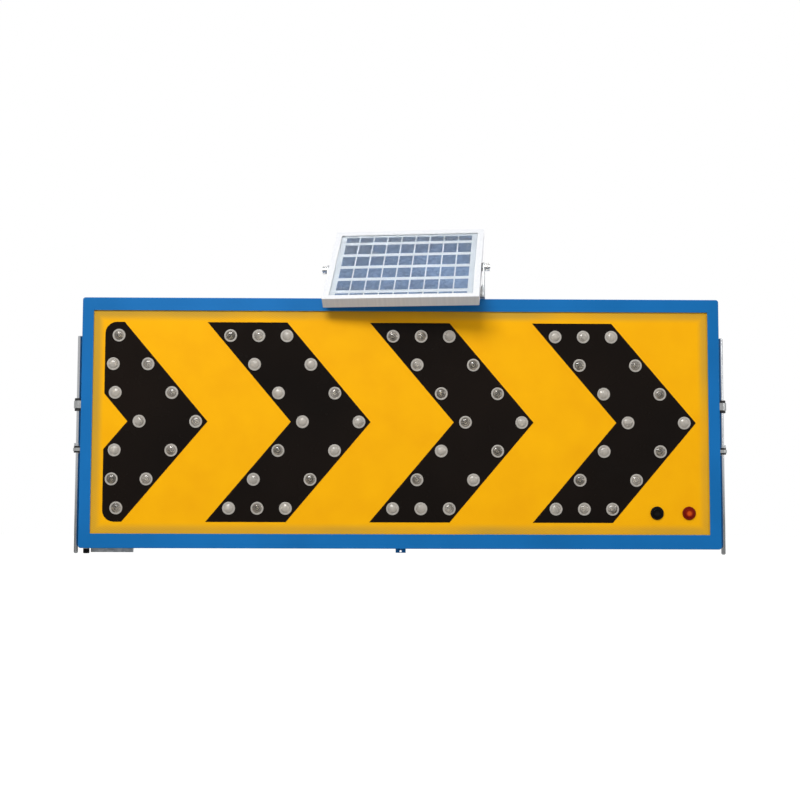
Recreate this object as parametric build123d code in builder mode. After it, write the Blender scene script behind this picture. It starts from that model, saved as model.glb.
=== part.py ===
"""Solar LED chevron arrow board: a shallow steel box with a lamp face, a tilting solar panel on top,
two drop rods on its ends and two mounting rails behind.

Millimetres. +X runs to the right of someone facing the lamps, the lamps face -Y and +Z is up.
The origin is the centre of the four mounting holes, on the rear face of the two rails.
"""
import os
from math import cos, radians, sin

from build123d import *

os.makedirs("parts", exist_ok=True)

# ---------------------------------------------------------------- driving dimensions
# box
board_w = 1200.0
board_h = 470.0
shell_d = 54.0
wall_t = 2.0
lip_t = 3.0
border_side = 21.0
border_top = 24.0
border_bottom = 27.0
rear_flange_w = 16.0
corner_r = 5.0
edge_r = 1.2
face_t = 2.0
seat_gap = 0.3
gasket_t = 1.0
cover_t = 2.0
cover_inset = 1.5
shaft_gap = 0.05

# chevrons
chevron_count = 4
chevron_margin = 22.0
arm_w = 150.0
sweep_w = 158.0
tip_margin = 24.0
cut_margin = 22.0
first_reach = 194.0
cut_corner_r = 22.0
film_t = 0.3

# lamps
lamp_rim_r = 12.0
lamp_barrel_r = 10.0
lamp_rim_t = 1.2
lamp_cup_l = 13.0
lamp_pair = 106.0
lamp_tip_inset = 22.0
lamp_end_inset = 25.5
lamp_cut_inset = 16.0
lens_r = 8.9
lens_dome = 2.8
lens_seat = 2.1
emitter_r = 2.8
emitter_l = 3.6
solder_gap = 0.05
board_t = 1.6
board_gap = 1.5
board_inset = 7.0
standoff_r = 3.0

# rear cover, rails and their fasteners
rail_d = 20.0
rail_w = 40.0
rail_t = 2.5
rail_flange_w = 16.0
rail_x = 300.0
mount_pitch_z = 300.0
mount_hole_r = 5.5
nut_m10_af = 17.0
nut_m10_t = 8.0
screw_r = 2.0
screw_head_r = 3.8
screw_head_t = 2.2
rail_bolt_r = 3.0
rail_bolt_head_r = 5.5
rail_bolt_head_t = 4.0
cover_screw_columns = 4

# service door
door_open_w = 320.0
door_open_h = 120.0
door_open_low = 42.0
door_lap = 12.0
door_t = 2.0
door_seal_t = 1.5
hinge_l = 260.0
hinge_leaf_t = 1.2
hinge_leaf_w = 20.0
hinge_knuckle_r = 3.2
hinge_pin_r = 1.5
hinge_knuckles = 5
hinge_rise = 5.0
latch_up = 14.0
latch_stem_r = 4.0
latch_knob_r = 12.0
latch_knob_l = 9.0
latch_cam_l = 26.0
latch_cam_w = 12.0
latch_cam_t = 2.0
latch_reach = 1.5

# inside the service bay
tray_w = 380.0
tray_h = 122.0
tray_t = 1.5
tray_depth = 20.5
tray_floor_d = 30.0
battery_w = 150.0
battery_h = 110.0
battery_d = 25.0
battery_x = -95.0
strap_w = 20.0
strap_t = 1.2
controller_w = 120.0
controller_h = 80.0
controller_x = 95.0
controller_up = 58.0
controller_standoff = 6.0

# push buttons
button_right = 60.0
button_pitch = 60.0
button_up = 67.5
button_rim_r = 12.5
button_rim_t = 2.5
button_barrel_r = 10.0
button_body_l = 20.0
button_floor_t = 2.0
button_cap_r = 8.5
button_cap_l = 8.0
button_proud = 1.6
button_nut_t = 4.0
button_nut_af = 24.0
spring_wire_r = 0.5
spring_r = 5.0
spring_turns = 4

# underside fittings
inlet_from_side = 11.0
inlet_depth = 20.0
inlet_r = 4.8
inlet_flange_r = 6.0
inlet_flange_t = 1.5
inlet_below = 8.0
inlet_above = 12.0
inlet_nut_t = 3.0
inlet_nut_af = 12.0
inlet_hole_r = 1.6
cap_wall = 1.1
cap_end_t = 2.2
guard_w = 80.0
guard_from_side = 17.0
guard_depth = 30.0
guard_foot = 12.0
guard_drop = 9.0
guard_t = 1.5
tab_w = 19.0
tab_depth = 12.0
tab_foot = 18.0
tab_drop = 8.0
tab_t = 2.0
tab_hole_r = 2.0

# cable gland for the solar lead, on the rear cover
gland_x = 60.0
gland_from_top = 45.0
gland_thread_r = 6.0
gland_hex_af = 17.0
gland_hex_t = 5.0
gland_dome_r = 7.6
gland_dome_l = 8.0
gland_tail = 9.0
gland_bore_r = 2.6
gland_nut_t = 3.5

# drop rods and their guides
rod_r = 4.0
rod_clear = 0.08
rod_out = 11.0
rod_depth = 30.0
rod_below = 11.0
rod_l = 411.0
rod_tip_r = 3.0
collar_r = 7.5
collar_h = 6.0
guide_low_up = 184.0
guide_high_up = 269.0
guide_low_h = 6.0
guide_high_h = 14.0
guide_low_head = 3.0
guide_high_head = 5.0
bush_r = 5.6
bush_head_r = 7.6
guide_body_w = 18.0
guide_flange_w = 40.0
guide_flange_h = 14.0
guide_flange_t = 2.0

# solar panel and its yoke
panel_w = 292.0
panel_l = 222.0
panel_t = 20.0
panel_tilt = 45.0
panel_yaw = 8.0
pivot_h = 62.0
pivot_below_face = 13.0
frame_wall = 1.5
frame_lip_w = 11.0
frame_ledge_w = 9.0
frame_foot_w = 14.0
mitre_gap = 0.1
glass_t = 3.2
cell_t = 0.4
backsheet_t = 0.5
laminate_gap = 0.2
cell_columns = 9
cell_side_margin = 22.5
cell_gap = 2.75
cell_row_h = 30.0
cell_half_row_h = 16.0
cell_end_row_h = 8.0
cell_row_gap = 9.6
cell_bottom_margin = 12.5
jbox_w = 56.0
jbox_l = 44.0
jbox_t = 12.5
jbox_up = 45.0
stud_r = 3.0
stud_head_r = 4.7
stud_head_t = 3.0
washer_r = 8.0
washer_t = 2.0
side_gap = 0.2
yoke_w = 30.0
yoke_t = 3.0
yoke_top_r = 9.0
gusset_w = 10.0
gusset_h = 22.0
knob_r = 8.0
knob_l = 9.0
knob_lobe_r = 2.4
knob_lobes = 6
swivel_base_w = 64.0
swivel_base_d = 40.0
swivel_base_t = 3.0
swivel_bolt_r = 5.0
swivel_head_t = 6.4
swivel_nut_t = 8.0
swivel_spare = 3.0

# ---------------------------------------------------------------- places worked out from them
cover_back = shell_d + gasket_t + cover_t
front_y = -(cover_back + rail_d)
top_z = board_h / 2
bottom_z = -board_h / 2
window_w = board_w - 2 * border_side
window_h = board_h - border_top - border_bottom
window_z = (border_bottom - border_top) / 2
chevron_h = window_h - 2 * chevron_margin
cut_x = -window_w / 2 + cut_margin
tip_last = window_w / 2 - tip_margin
tip_pitch = (tip_last - cut_x - first_reach) / (chevron_count - 1)
tips = [tip_last - tip_pitch * (chevron_count - 1 - k) for k in range(chevron_count)]
lamp_row = (chevron_h / 2 - lamp_end_inset) / 3
lamp_step = lamp_row * sweep_w / (chevron_h / 2)
face_back = lip_t + face_t
film_front = lip_t - film_t
rim_front = film_front - lamp_rim_t
cup_back = film_front + lamp_cup_l - lamp_rim_t
board_front = cup_back + board_gap
flange_front = shell_d - wall_t
door_front = cover_back + door_seal_t + seat_gap


def front(depth):
    """Sketch plane at a depth behind the box's front, drawn as seen from the front."""
    return Plane(origin=(0, front_y + depth, 0), x_dir=(1, 0, 0), z_dir=(0, -1, 0))


def level(height, x=0.0, depth=0.0):
    """Horizontal sketch plane at a height, with its origin at a place in the box."""
    return Plane(origin=(x, front_y + depth, height), x_dir=(1, 0, 0), z_dir=(0, 0, 1))


def side_plane(x):
    """Sketch plane across the box at x, with depth to the right and height up."""
    return Plane(origin=(x, front_y, 0), x_dir=(0, 1, 0), z_dir=(1, 0, 0))


def hexagon_r(across_flats):
    """Corner radius of a hexagon from its width across the flats."""
    return across_flats / 2 / cos(radians(30))


def lamp_places(k):
    """Lamp centres of chevron k, in rows that run parallel to its edges."""
    places = []
    for row in range(-3, 4):
        lead = tips[k] - lamp_tip_inset - lamp_step * abs(row)
        offsets = [0, lamp_pair / 2, lamp_pair] if abs(row) == 3 else [0, lamp_pair]
        if k == 0:
            room = lead - cut_x - lamp_cut_inset
            offsets = [room / 2] if abs(row) == 3 else [0, min(lamp_pair, room)]
        places += [(lead - offset, window_z + row * lamp_row) for offset in offsets]
    return places


def chevron_points(k):
    """Corners of chevron k. The first one is cut off square at its left end."""
    tip, notch, high = tips[k], tips[k] - arm_w, chevron_h / 2
    if k > 0:
        upper = [(tip - sweep_w, high), (tip - sweep_w - arm_w, high)]
    else:
        meet = high * (notch - cut_x) / sweep_w
        upper = [(tip - sweep_w, high), (cut_x, high), (cut_x, meet)]
    lower = [(x, -z) for x, z in reversed(upper)]
    points = [(tip, 0), *upper, (notch, 0), *lower]
    return [(x, z + window_z) for x, z in points]


def screw_places():
    """Centres of the rear cover's screws, in the middle of the box's rear flange."""
    edge_x = board_w / 2 - rear_flange_w / 2
    edge_z = board_h / 2 - rear_flange_w / 2
    pitch_x = 2 * edge_x / cover_screw_columns
    columns = [-edge_x + pitch_x * (i + 0.5) for i in range(cover_screw_columns)]
    rows = [-edge_z / 2, edge_z / 2]
    return [(x, side * edge_z) for x in columns for side in (-1, 1)] + [
        (side * edge_x, z) for z in rows for side in (-1, 1)
    ]


def rail_bolt_places():
    """Centres of the rails' bolts, two through each end of each rail's flanges."""
    edge_z = board_h / 2 - rear_flange_w / 2
    spread = rail_w / 2 + rail_flange_w / 2 - rail_t / 2
    return [
        (side * rail_x + turn * spread, end * edge_z)
        for side in (-1, 1) for turn in (-1, 1) for end in (-1, 1)
    ]


screws = screw_places()
rail_bolts_at = rail_bolt_places()
swivel_depth = shell_d / 2
swivel_x = 8.0
button_x = [board_w / 2 - button_right - button_pitch, board_w / 2 - button_right]
button_z = bottom_z + button_up
inlet_x = -board_w / 2 + inlet_from_side
gland_z = top_z - gland_from_top
rod_x = board_w / 2 + rod_out
guides = [
    (bottom_z + guide_low_up, guide_low_h, guide_low_head),
    (bottom_z + guide_high_up, guide_high_h, guide_high_head),
]
guide_screw_y = guide_flange_w / 2 - 2 * screw_r - 1.5
pivot = Vector(swivel_x, front_y + swivel_depth, top_z + pivot_h)
across = Vector(cos(radians(panel_yaw)), -sin(radians(panel_yaw)), 0)
rearward = Vector(sin(radians(panel_yaw)), cos(radians(panel_yaw)), 0)
uphill = rearward * cos(radians(panel_tilt)) + Vector(0, 0, sin(radians(panel_tilt)))
panel_normal = across.cross(uphill)
arm_in = panel_w / 2 + washer_t + side_gap
arm_out = arm_in + yoke_t

# ================================================================ the box
# box_shell: folded steel, with a hemmed lip round the face and a return flange behind
with BuildPart() as box_shell:
    with BuildSketch(front(shell_d)):
        RectangleRounded(board_w, board_h, corner_r)
    extrude(amount=shell_d)
    fillet(box_shell.faces().sort_by(Axis.Y)[0].edges(), edge_r)
    with BuildSketch(front(flange_front)):
        Rectangle(board_w - 2 * wall_t, board_h - 2 * wall_t)
    extrude(amount=flange_front - lip_t, mode=Mode.SUBTRACT)
    with BuildSketch(front(shell_d)):
        Rectangle(board_w - 2 * rear_flange_w, board_h - 2 * rear_flange_w)
        with Locations(*screws):
            Circle(screw_r + shaft_gap)
        with Locations(*rail_bolts_at):
            Circle(rail_bolt_r + shaft_gap)
    extrude(amount=wall_t, mode=Mode.SUBTRACT)
    with BuildSketch(front(lip_t)):
        with Locations((0, window_z)):
            Rectangle(window_w, window_h)
    extrude(amount=lip_t, mode=Mode.SUBTRACT)
    with BuildSketch(level(top_z, swivel_x, swivel_depth)):
        Circle(swivel_bolt_r + shaft_gap)
    extrude(amount=-wall_t, mode=Mode.SUBTRACT)
    with BuildSketch(level(bottom_z, inlet_x, inlet_depth)):
        Circle(inlet_r + shaft_gap)
    extrude(amount=wall_t, mode=Mode.SUBTRACT)
    for side in (-1, 1):
        with BuildSketch(side_plane(side * board_w / 2)):
            for height, _, _ in guides:
                with Locations(*[(rod_depth + turn * guide_screw_y, height) for turn in (-1, 1)]):
                    Circle(screw_r + shaft_gap)
        extrude(amount=-side * wall_t, mode=Mode.SUBTRACT)
box_shell.part.label = "box_shell"
export_step(box_shell.part, "parts/box_shell.step")

# face_panel: yellow sheet behind the lip, with a hole for each lamp and push button
with BuildPart() as face_panel:
    with BuildSketch(front(face_back)):
        Rectangle(board_w - 2 * (wall_t + seat_gap), board_h - 2 * (wall_t + seat_gap))
        for k in range(chevron_count):
            with Locations(*lamp_places(k)):
                Circle(lamp_barrel_r + shaft_gap, mode=Mode.SUBTRACT)
        with Locations(*[(x, button_z) for x in button_x]):
            Circle(button_barrel_r + shaft_gap, mode=Mode.SUBTRACT)
    extrude(amount=face_t)
face_panel.part.label = "face_panel"
export_step(face_panel.part, "parts/face_panel.step")

# chevron_film_1 to 4: black film on the yellow sheet
# lamp_board_1 to 4: circuit boards of the same outline behind it, with an emitter under each lamp
for k in range(chevron_count):
    with BuildPart() as chevron_film:
        with BuildSketch(front(lip_t)) as outline:
            with BuildLine():
                Polyline(*chevron_points(k), close=True)
            make_face()
            if k == 0:
                corners = outline.sketch_local.vertices().group_by(Axis.X)[0].sort_by(Axis.Y)
                fillet([corners[0], corners[-1]], cut_corner_r)
            with Locations(*lamp_places(k)):
                Circle(lamp_barrel_r + shaft_gap, mode=Mode.SUBTRACT)
        extrude(amount=film_t)
    chevron_film.part.label = f"chevron_film_{k + 1}"
    export_step(chevron_film.part, f"parts/chevron_film_{k + 1}.step")

    with BuildPart() as lamp_board:
        with BuildSketch(front(board_front + board_t)):
            with BuildLine():
                Polyline(*chevron_points(k), close=True)
            make_face()
            offset(amount=-board_inset, kind=Kind.INTERSECTION)
        extrude(amount=board_t)
        with BuildSketch(front(board_front - solder_gap)):
            with Locations(*lamp_places(k)):
                Circle(emitter_r)
        extrude(amount=emitter_l)
    lamp_board.part.label = f"lamp_board_{k + 1}"
    export_step(lamp_board.part, f"parts/lamp_board_{k + 1}.step")

every_lamp = [place for k in range(chevron_count) for place in lamp_places(k)]

# lamp_cups: moulded cups pushed through the face, with a rim in front and a cone inside
with BuildPart(mode=Mode.PRIVATE) as cup:
    with BuildSketch(Plane.XZ):
        with BuildLine():
            Polyline(
                (lamp_rim_r, rim_front), (lamp_rim_r, film_front), (lamp_barrel_r, film_front),
                (lamp_barrel_r, cup_back), (emitter_r + 0.6, cup_back),
                (emitter_r + 0.6, cup_back - lamp_rim_t), (lens_r - 0.7, rim_front + lens_seat),
                (lens_r, rim_front + lens_seat), (lens_r, rim_front), close=True,
            )
        make_face()
    revolve(axis=Axis.Z)
with BuildPart() as lamp_cups:
    with Locations(front(0)):
        with Locations(*[(x, z, 0) for x, z in every_lamp]):
            add(cup.part, rotation=(180, 0, 0))
lamp_cups.part.label = "lamp_cups"
export_step(lamp_cups.part, "parts/lamp_cups.step")

# lamp_lenses: clear domes seated in the cups' rims
dome_r = (lens_r**2 + lens_dome**2) / (2 * lens_dome)
with BuildPart(mode=Mode.PRIVATE) as lens:
    with BuildSketch(Plane.XZ):
        with BuildLine():
            Polyline(
                (0, rim_front - lens_dome), (0, rim_front + lens_seat),
                (lens_r, rim_front + lens_seat), (lens_r, rim_front),
            )
            RadiusArc((lens_r, rim_front), (0, rim_front - lens_dome), dome_r)
        make_face()
    revolve(axis=Axis.Z)
with BuildPart() as lamp_lenses:
    with Locations(front(0)):
        with Locations(*[(x, z, 0) for x, z in every_lamp]):
            add(lens.part, rotation=(180, 0, 0))
lamp_lenses.part.label = "lamp_lenses"
export_step(lamp_lenses.part, "parts/lamp_lenses.step")

# board_standoffs: posts between the face and each circuit board, midway between two lamps
posts = []
for k in range(chevron_count):
    for row in (-2, 0, 2):
        pair = [x for x, z in lamp_places(k) if abs(z - window_z - row * lamp_row) < 1]
        posts.append((sum(pair) / len(pair), window_z + row * lamp_row))
with BuildPart() as board_standoffs:
    with BuildSketch(front(board_front)):
        with Locations(*posts):
            Circle(standoff_r)
    extrude(amount=board_front - face_back)
board_standoffs.part.label = "board_standoffs"
export_step(board_standoffs.part, "parts/board_standoffs.step")

# ================================================================ the rear
# cover_gasket: foam frame between the box's rear flange and the cover
with BuildPart() as cover_gasket:
    with BuildSketch(front(shell_d + gasket_t)):
        Rectangle(board_w - 2 * cover_inset, board_h - 2 * cover_inset)
        Rectangle(board_w - 2 * rear_flange_w, board_h - 2 * rear_flange_w, mode=Mode.SUBTRACT)
        with Locations(*screws):
            Circle(screw_r + shaft_gap, mode=Mode.SUBTRACT)
        with Locations(*rail_bolts_at):
            Circle(rail_bolt_r + shaft_gap, mode=Mode.SUBTRACT)
    extrude(amount=gasket_t)
cover_gasket.part.label = "cover_gasket"
export_step(cover_gasket.part, "parts/cover_gasket.step")

# back_cover: flat sheet with the service opening and a hole for the cable gland
door_open_z = bottom_z + door_open_low + door_open_h / 2
with BuildPart() as back_cover:
    with BuildSketch(front(cover_back)):
        Rectangle(board_w - 2 * cover_inset, board_h - 2 * cover_inset)
        with Locations((0, door_open_z)):
            Rectangle(door_open_w, door_open_h, mode=Mode.SUBTRACT)
        with Locations((gland_x, gland_z)):
            Circle(gland_thread_r + shaft_gap, mode=Mode.SUBTRACT)
        with Locations(*screws):
            Circle(screw_r + shaft_gap, mode=Mode.SUBTRACT)
        with Locations(*rail_bolts_at):
            Circle(rail_bolt_r + shaft_gap, mode=Mode.SUBTRACT)
    extrude(amount=cover_t)
back_cover.part.label = "back_cover"
export_step(back_cover.part, "parts/back_cover.step")

# cover_screws: pan heads outside, shanks through the cover, the gasket and the flange
with BuildPart() as cover_screws:
    with BuildSketch(front(cover_back + screw_head_t)):
        with Locations(*screws):
            Circle(screw_head_r)
    extrude(amount=screw_head_t)
    fillet(cover_screws.edges().group_by(Axis.Y)[-1], 1.0)
    with BuildSketch(front(cover_back)):
        with Locations(*screws):
            Circle(screw_r)
    extrude(amount=cover_back - flange_front + screw_r)
cover_screws.part.label = "cover_screws"
export_step(cover_screws.part, "parts/cover_screws.step")

# mounting_rails: two galvanised hat sections, with the mounting holes in their crowns
rail_l = board_h - 2 * cover_inset
with BuildPart() as mounting_rails:
    for side in (-1, 1):
        with BuildSketch(level(-rail_l / 2, side * rail_x, cover_back)):
            with BuildLine():
                half, reach = rail_w / 2, rail_w / 2 + rail_flange_w - rail_t
                hat = [(reach, 0), (reach, rail_t), (half, rail_t), (half, rail_d)]
                hollow = [(half - rail_t, rail_d - rail_t), (half - rail_t, 0)]
                Polyline(
                    *hat, *[(-x, y) for x, y in reversed(hat)],
                    *[(-x, y) for x, y in reversed(hollow)], *hollow, close=True,
                )
            make_face()
        extrude(amount=rail_l)
    with BuildSketch(front(cover_back + rail_d)):
        with GridLocations(2 * rail_x, mount_pitch_z, 2, 2):
            Circle(mount_hole_r)
    extrude(amount=rail_t, mode=Mode.SUBTRACT)
    with BuildSketch(front(cover_back + rail_t)):
        with Locations(*rail_bolts_at):
            Circle(rail_bolt_r + shaft_gap)
    extrude(amount=rail_t, mode=Mode.SUBTRACT)
mounting_rails.part.label = "mounting_rails"
export_step(mounting_rails.part, "parts/mounting_rails.step")

# rail_bolts: hexagon heads on the rails' flanges, shanks through to the box's rear flange
with BuildPart() as rail_bolts:
    with BuildSketch(front(cover_back + rail_t + rail_bolt_head_t)):
        with Locations(*rail_bolts_at):
            RegularPolygon(rail_bolt_head_r, 6)
    extrude(amount=rail_bolt_head_t)
    with BuildSketch(front(cover_back + rail_t)):
        with Locations(*rail_bolts_at):
            Circle(rail_bolt_r)
    extrude(amount=cover_back + rail_t - flange_front + rail_bolt_r)
rail_bolts.part.label = "rail_bolts"
export_step(rail_bolts.part, "parts/rail_bolts.step")

# rail_nuts: welded M10 nuts behind the mounting holes
with BuildPart() as rail_nuts:
    with BuildSketch(front(cover_back + rail_d - rail_t)):
        with GridLocations(2 * rail_x, mount_pitch_z, 2, 2):
            RegularPolygon(hexagon_r(nut_m10_af), 6)
            Circle(mount_hole_r - 0.5, mode=Mode.SUBTRACT)
    extrude(amount=nut_m10_t)
rail_nuts.part.label = "rail_nuts"
export_step(rail_nuts.part, "parts/rail_nuts.step")

# solar_gland: cable gland in the rear cover, with its lock nut inside
with BuildPart() as solar_gland:
    with BuildSketch(front(cover_back + gland_hex_t)):
        with Locations((gland_x, gland_z)):
            RegularPolygon(hexagon_r(gland_hex_af), 6)
    extrude(amount=gland_hex_t)
    with BuildSketch(front(cover_back + gland_hex_t + gland_dome_l)):
        with Locations((gland_x, gland_z)):
            Circle(gland_dome_r)
    extrude(amount=gland_dome_l)
    fillet(solar_gland.edges().group_by(Axis.Y)[-1], 2.5)
    with BuildSketch(front(cover_back)):
        with Locations((gland_x, gland_z)):
            Circle(gland_thread_r)
    extrude(amount=gland_tail)
    with BuildSketch(front(cover_back + gland_hex_t + gland_dome_l)):
        with Locations((gland_x, gland_z)):
            Circle(gland_bore_r)
    extrude(amount=gland_hex_t + gland_dome_l + gland_tail, mode=Mode.SUBTRACT)
    with BuildSketch(front(cover_back - cover_t)):
        with Locations((gland_x, gland_z)):
            RegularPolygon(hexagon_r(gland_hex_af), 6)
            Circle(gland_thread_r + shaft_gap, mode=Mode.SUBTRACT)
    extrude(amount=gland_nut_t)
solar_gland.part.label = "solar_gland"
export_step(solar_gland.part, "parts/solar_gland.step")

# ================================================================ the service door
door_w = door_open_w + 2 * door_lap
door_h = door_open_h + 2 * door_lap
door_top = door_open_z + door_h / 2
hinge_z = door_top + hinge_rise
hinge_depth = cover_back + door_seal_t + seat_gap + hinge_knuckle_r
leaf_front = door_front + door_t
latch_z = door_open_z - door_open_h / 2 + latch_up

# door_gasket: rubber frame on the cover round the service opening
with BuildPart() as door_gasket:
    with BuildSketch(front(cover_back + door_seal_t)):
        with Locations((0, door_open_z)):
            Rectangle(door_w - 4, door_h - 4)
            Rectangle(door_open_w + 4, door_open_h + 4, mode=Mode.SUBTRACT)
    extrude(amount=door_seal_t)
door_gasket.part.label = "door_gasket"
export_step(door_gasket.part, "parts/door_gasket.step")

# service_door: flat door with rounded corners
with BuildPart() as service_door:
    with BuildSketch(front(leaf_front)):
        with Locations((0, door_open_z)):
            RectangleRounded(door_w, door_h, 6)
        with Locations((0, latch_z)):
            Circle(latch_stem_r + shaft_gap, mode=Mode.SUBTRACT)
    extrude(amount=door_t)
service_door.part.label = "service_door"
export_step(service_door.part, "parts/service_door.step")


def knuckle_spans(first):
    """Centres and length of every other hinge knuckle, from the given one."""
    pitch = hinge_l / hinge_knuckles
    return [-hinge_l / 2 + pitch * (i + 0.5) for i in range(first, hinge_knuckles, 2)], pitch - 0.6


# hinge_leaf_fixed: on the rear cover, with the odd knuckles
with BuildPart() as hinge_leaf_fixed:
    centres, length = knuckle_spans(0)
    foot = hinge_knuckle_r + 0.6
    with BuildSketch(front(cover_back + hinge_leaf_t)):
        with Locations((0, hinge_z + foot + hinge_leaf_w / 2)):
            Rectangle(hinge_l, hinge_leaf_w)
    extrude(amount=hinge_leaf_t)
    for centre in centres:
        with BuildSketch(side_plane(centre)):
            with Locations((hinge_depth, hinge_z)):
                Circle(hinge_knuckle_r)
            with BuildLine():
                Polyline(
                    (cover_back, hinge_z + foot + 2), (cover_back, hinge_z + foot - 1.4),
                    (hinge_depth, hinge_z), (hinge_depth, hinge_z + hinge_knuckle_r),
                    (cover_back + hinge_leaf_t, hinge_z + foot + 2), close=True,
                )
            make_face()
            with Locations((hinge_depth, hinge_z)):
                Circle(hinge_pin_r + shaft_gap, mode=Mode.SUBTRACT)
        extrude(amount=length / 2, both=True)
hinge_leaf_fixed.part.label = "hinge_leaf_fixed"
export_step(hinge_leaf_fixed.part, "parts/hinge_leaf_fixed.step")

# hinge_leaf_moving: on the door's outer face, with the even knuckles
with BuildPart() as hinge_leaf_moving:
    centres, length = knuckle_spans(1)
    with BuildSketch(front(leaf_front + hinge_leaf_t)):
        with Locations((0, door_top - hinge_leaf_w / 2)):
            Rectangle(hinge_l, hinge_leaf_w)
    extrude(amount=hinge_leaf_t)
    for centre in centres:
        with BuildSketch(side_plane(centre)):
            with Locations((hinge_depth, hinge_z)):
                Circle(hinge_knuckle_r)
            with BuildLine():
                Polyline(
                    (leaf_front, door_top - 1), (leaf_front, hinge_z), (hinge_depth, hinge_z),
                    (hinge_depth + hinge_knuckle_r, hinge_z),
                    (leaf_front + hinge_leaf_t, door_top - 1), close=True,
                )
            make_face()
            with Locations((hinge_depth, hinge_z)):
                Circle(hinge_pin_r + shaft_gap, mode=Mode.SUBTRACT)
        extrude(amount=length / 2, both=True)
hinge_leaf_moving.part.label = "hinge_leaf_moving"
export_step(hinge_leaf_moving.part, "parts/hinge_leaf_moving.step")

# hinge_pin: through all the knuckles
with BuildPart() as hinge_pin:
    with BuildSketch(side_plane(-hinge_l / 2)):
        with Locations((hinge_depth, hinge_z)):
            Circle(hinge_pin_r)
    extrude(amount=hinge_l)
hinge_pin.part.label = "hinge_pin"
export_step(hinge_pin.part, "parts/hinge_pin.step")

# latch_knob: round knob with a finger rib outside the door and a stem through it
cam_back = flange_front - latch_reach
with BuildPart() as latch_knob:
    with BuildSketch(front(leaf_front + side_gap + latch_knob_l / 2)):
        with Locations((0, latch_z)):
            Circle(latch_knob_r)
    extrude(amount=latch_knob_l / 2)
    with BuildSketch(front(leaf_front + side_gap + latch_knob_l)):
        with Locations((0, latch_z)):
            SlotOverall(2 * latch_knob_r - 2, latch_knob_r / 2)
    extrude(amount=latch_knob_l / 2)
    with BuildSketch(front(leaf_front + side_gap)):
        with Locations((0, latch_z)):
            Circle(latch_stem_r)
    extrude(amount=leaf_front + side_gap - cam_back)
latch_knob.part.label = "latch_knob"
export_step(latch_knob.part, "parts/latch_knob.step")

# latch_cam: on the stem's inner end, lying along the opening's lower edge when it is unlocked
with BuildPart() as latch_cam:
    with BuildSketch(front(cam_back)):
        with Locations((latch_cam_l / 2 - latch_cam_w / 2, latch_z)):
            SlotOverall(latch_cam_l, latch_cam_w)
    extrude(amount=latch_cam_t)
latch_cam.part.label = "latch_cam"
export_step(latch_cam.part, "parts/latch_cam.step")

# ================================================================ inside the service bay
tray_z = bottom_z + wall_t
battery_z = tray_z + tray_t
battery_front = tray_depth + tray_t

# service_tray: folded sheet, its floor on the box's lower wall
with BuildPart() as service_tray:
    with BuildSketch(side_plane(-tray_w / 2)):
        with BuildLine():
            Polyline(
                (tray_depth, tray_z), (tray_depth + tray_floor_d, tray_z),
                (tray_depth + tray_floor_d, tray_z + tray_t), (tray_depth + tray_t, tray_z + tray_t),
                (tray_depth + tray_t, tray_z + tray_h), (tray_depth, tray_z + tray_h), close=True,
            )
        make_face()
    extrude(amount=tray_w)
service_tray.part.label = "service_tray"
export_step(service_tray.part, "parts/service_tray.step")

# battery_pack: sealed pack standing in the tray
with BuildPart() as battery_pack:
    with BuildSketch(level(battery_z, battery_x, battery_front + battery_d / 2)):
        Rectangle(battery_w, battery_d)
    extrude(amount=battery_h)
    fillet(battery_pack.edges().filter_by(Axis.Z), 3)
battery_pack.part.label = "battery_pack"
export_step(battery_pack.part, "parts/battery_pack.step")

# battery_strap: steel strap over the pack, from the tray's upright down to its floor
with BuildPart() as battery_strap:
    low, high = battery_z, battery_z + battery_h
    back = battery_front + battery_d
    with BuildSketch(side_plane(battery_x)):
        with BuildLine():
            Polyline(
                (battery_front, high), (back, high), (back, low), (back + strap_t, low),
                (back + strap_t, high + strap_t), (battery_front + strap_t, high + strap_t),
                (battery_front + strap_t, high + 6 * strap_t), (battery_front, high + 6 * strap_t),
                close=True,
            )
        make_face()
    extrude(amount=strap_w / 2, both=True)
battery_strap.part.label = "battery_strap"
export_step(battery_strap.part, "parts/battery_strap.step")

# controller_board: flasher and charge controller, on four posts from the tray
controller_z = tray_z + controller_up
controller_front = battery_front + controller_standoff
chips = [(-34, 14, 22, 26), (6, 18, 28, 14), (38, 16, 14, 20)]
with BuildPart() as controller_board:
    with BuildSketch(front(controller_front + board_t)):
        with Locations((controller_x, controller_z)):
            Rectangle(controller_w, controller_h)
    extrude(amount=board_t)
    with BuildSketch(front(controller_front)):
        with Locations((controller_x, controller_z)):
            with GridLocations(controller_w - 12, controller_h - 12, 2, 2):
                Circle(standoff_r)
    extrude(amount=controller_standoff)
    for x, z, width, height in chips:
        with BuildSketch(front(controller_front + board_t)):
            with Locations((controller_x + x, controller_z + z)):
                Rectangle(width, height)
        extrude(amount=-width / 4)
    with BuildSketch(front(controller_front + board_t)):
        with Locations((controller_x, controller_z - controller_h / 2 + 8)):
            Rectangle(controller_w - 20, 11)
    extrude(amount=-10)
controller_board.part.label = "controller_board"
export_step(controller_board.part, "parts/controller_board.step")

# ================================================================ the push buttons
button_front = lip_t - button_rim_t
button_back = button_front + button_body_l
cap_front = button_front - button_proud
cap_back = cap_front + button_cap_l
spring_l = button_back - button_floor_t - cap_back

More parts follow.
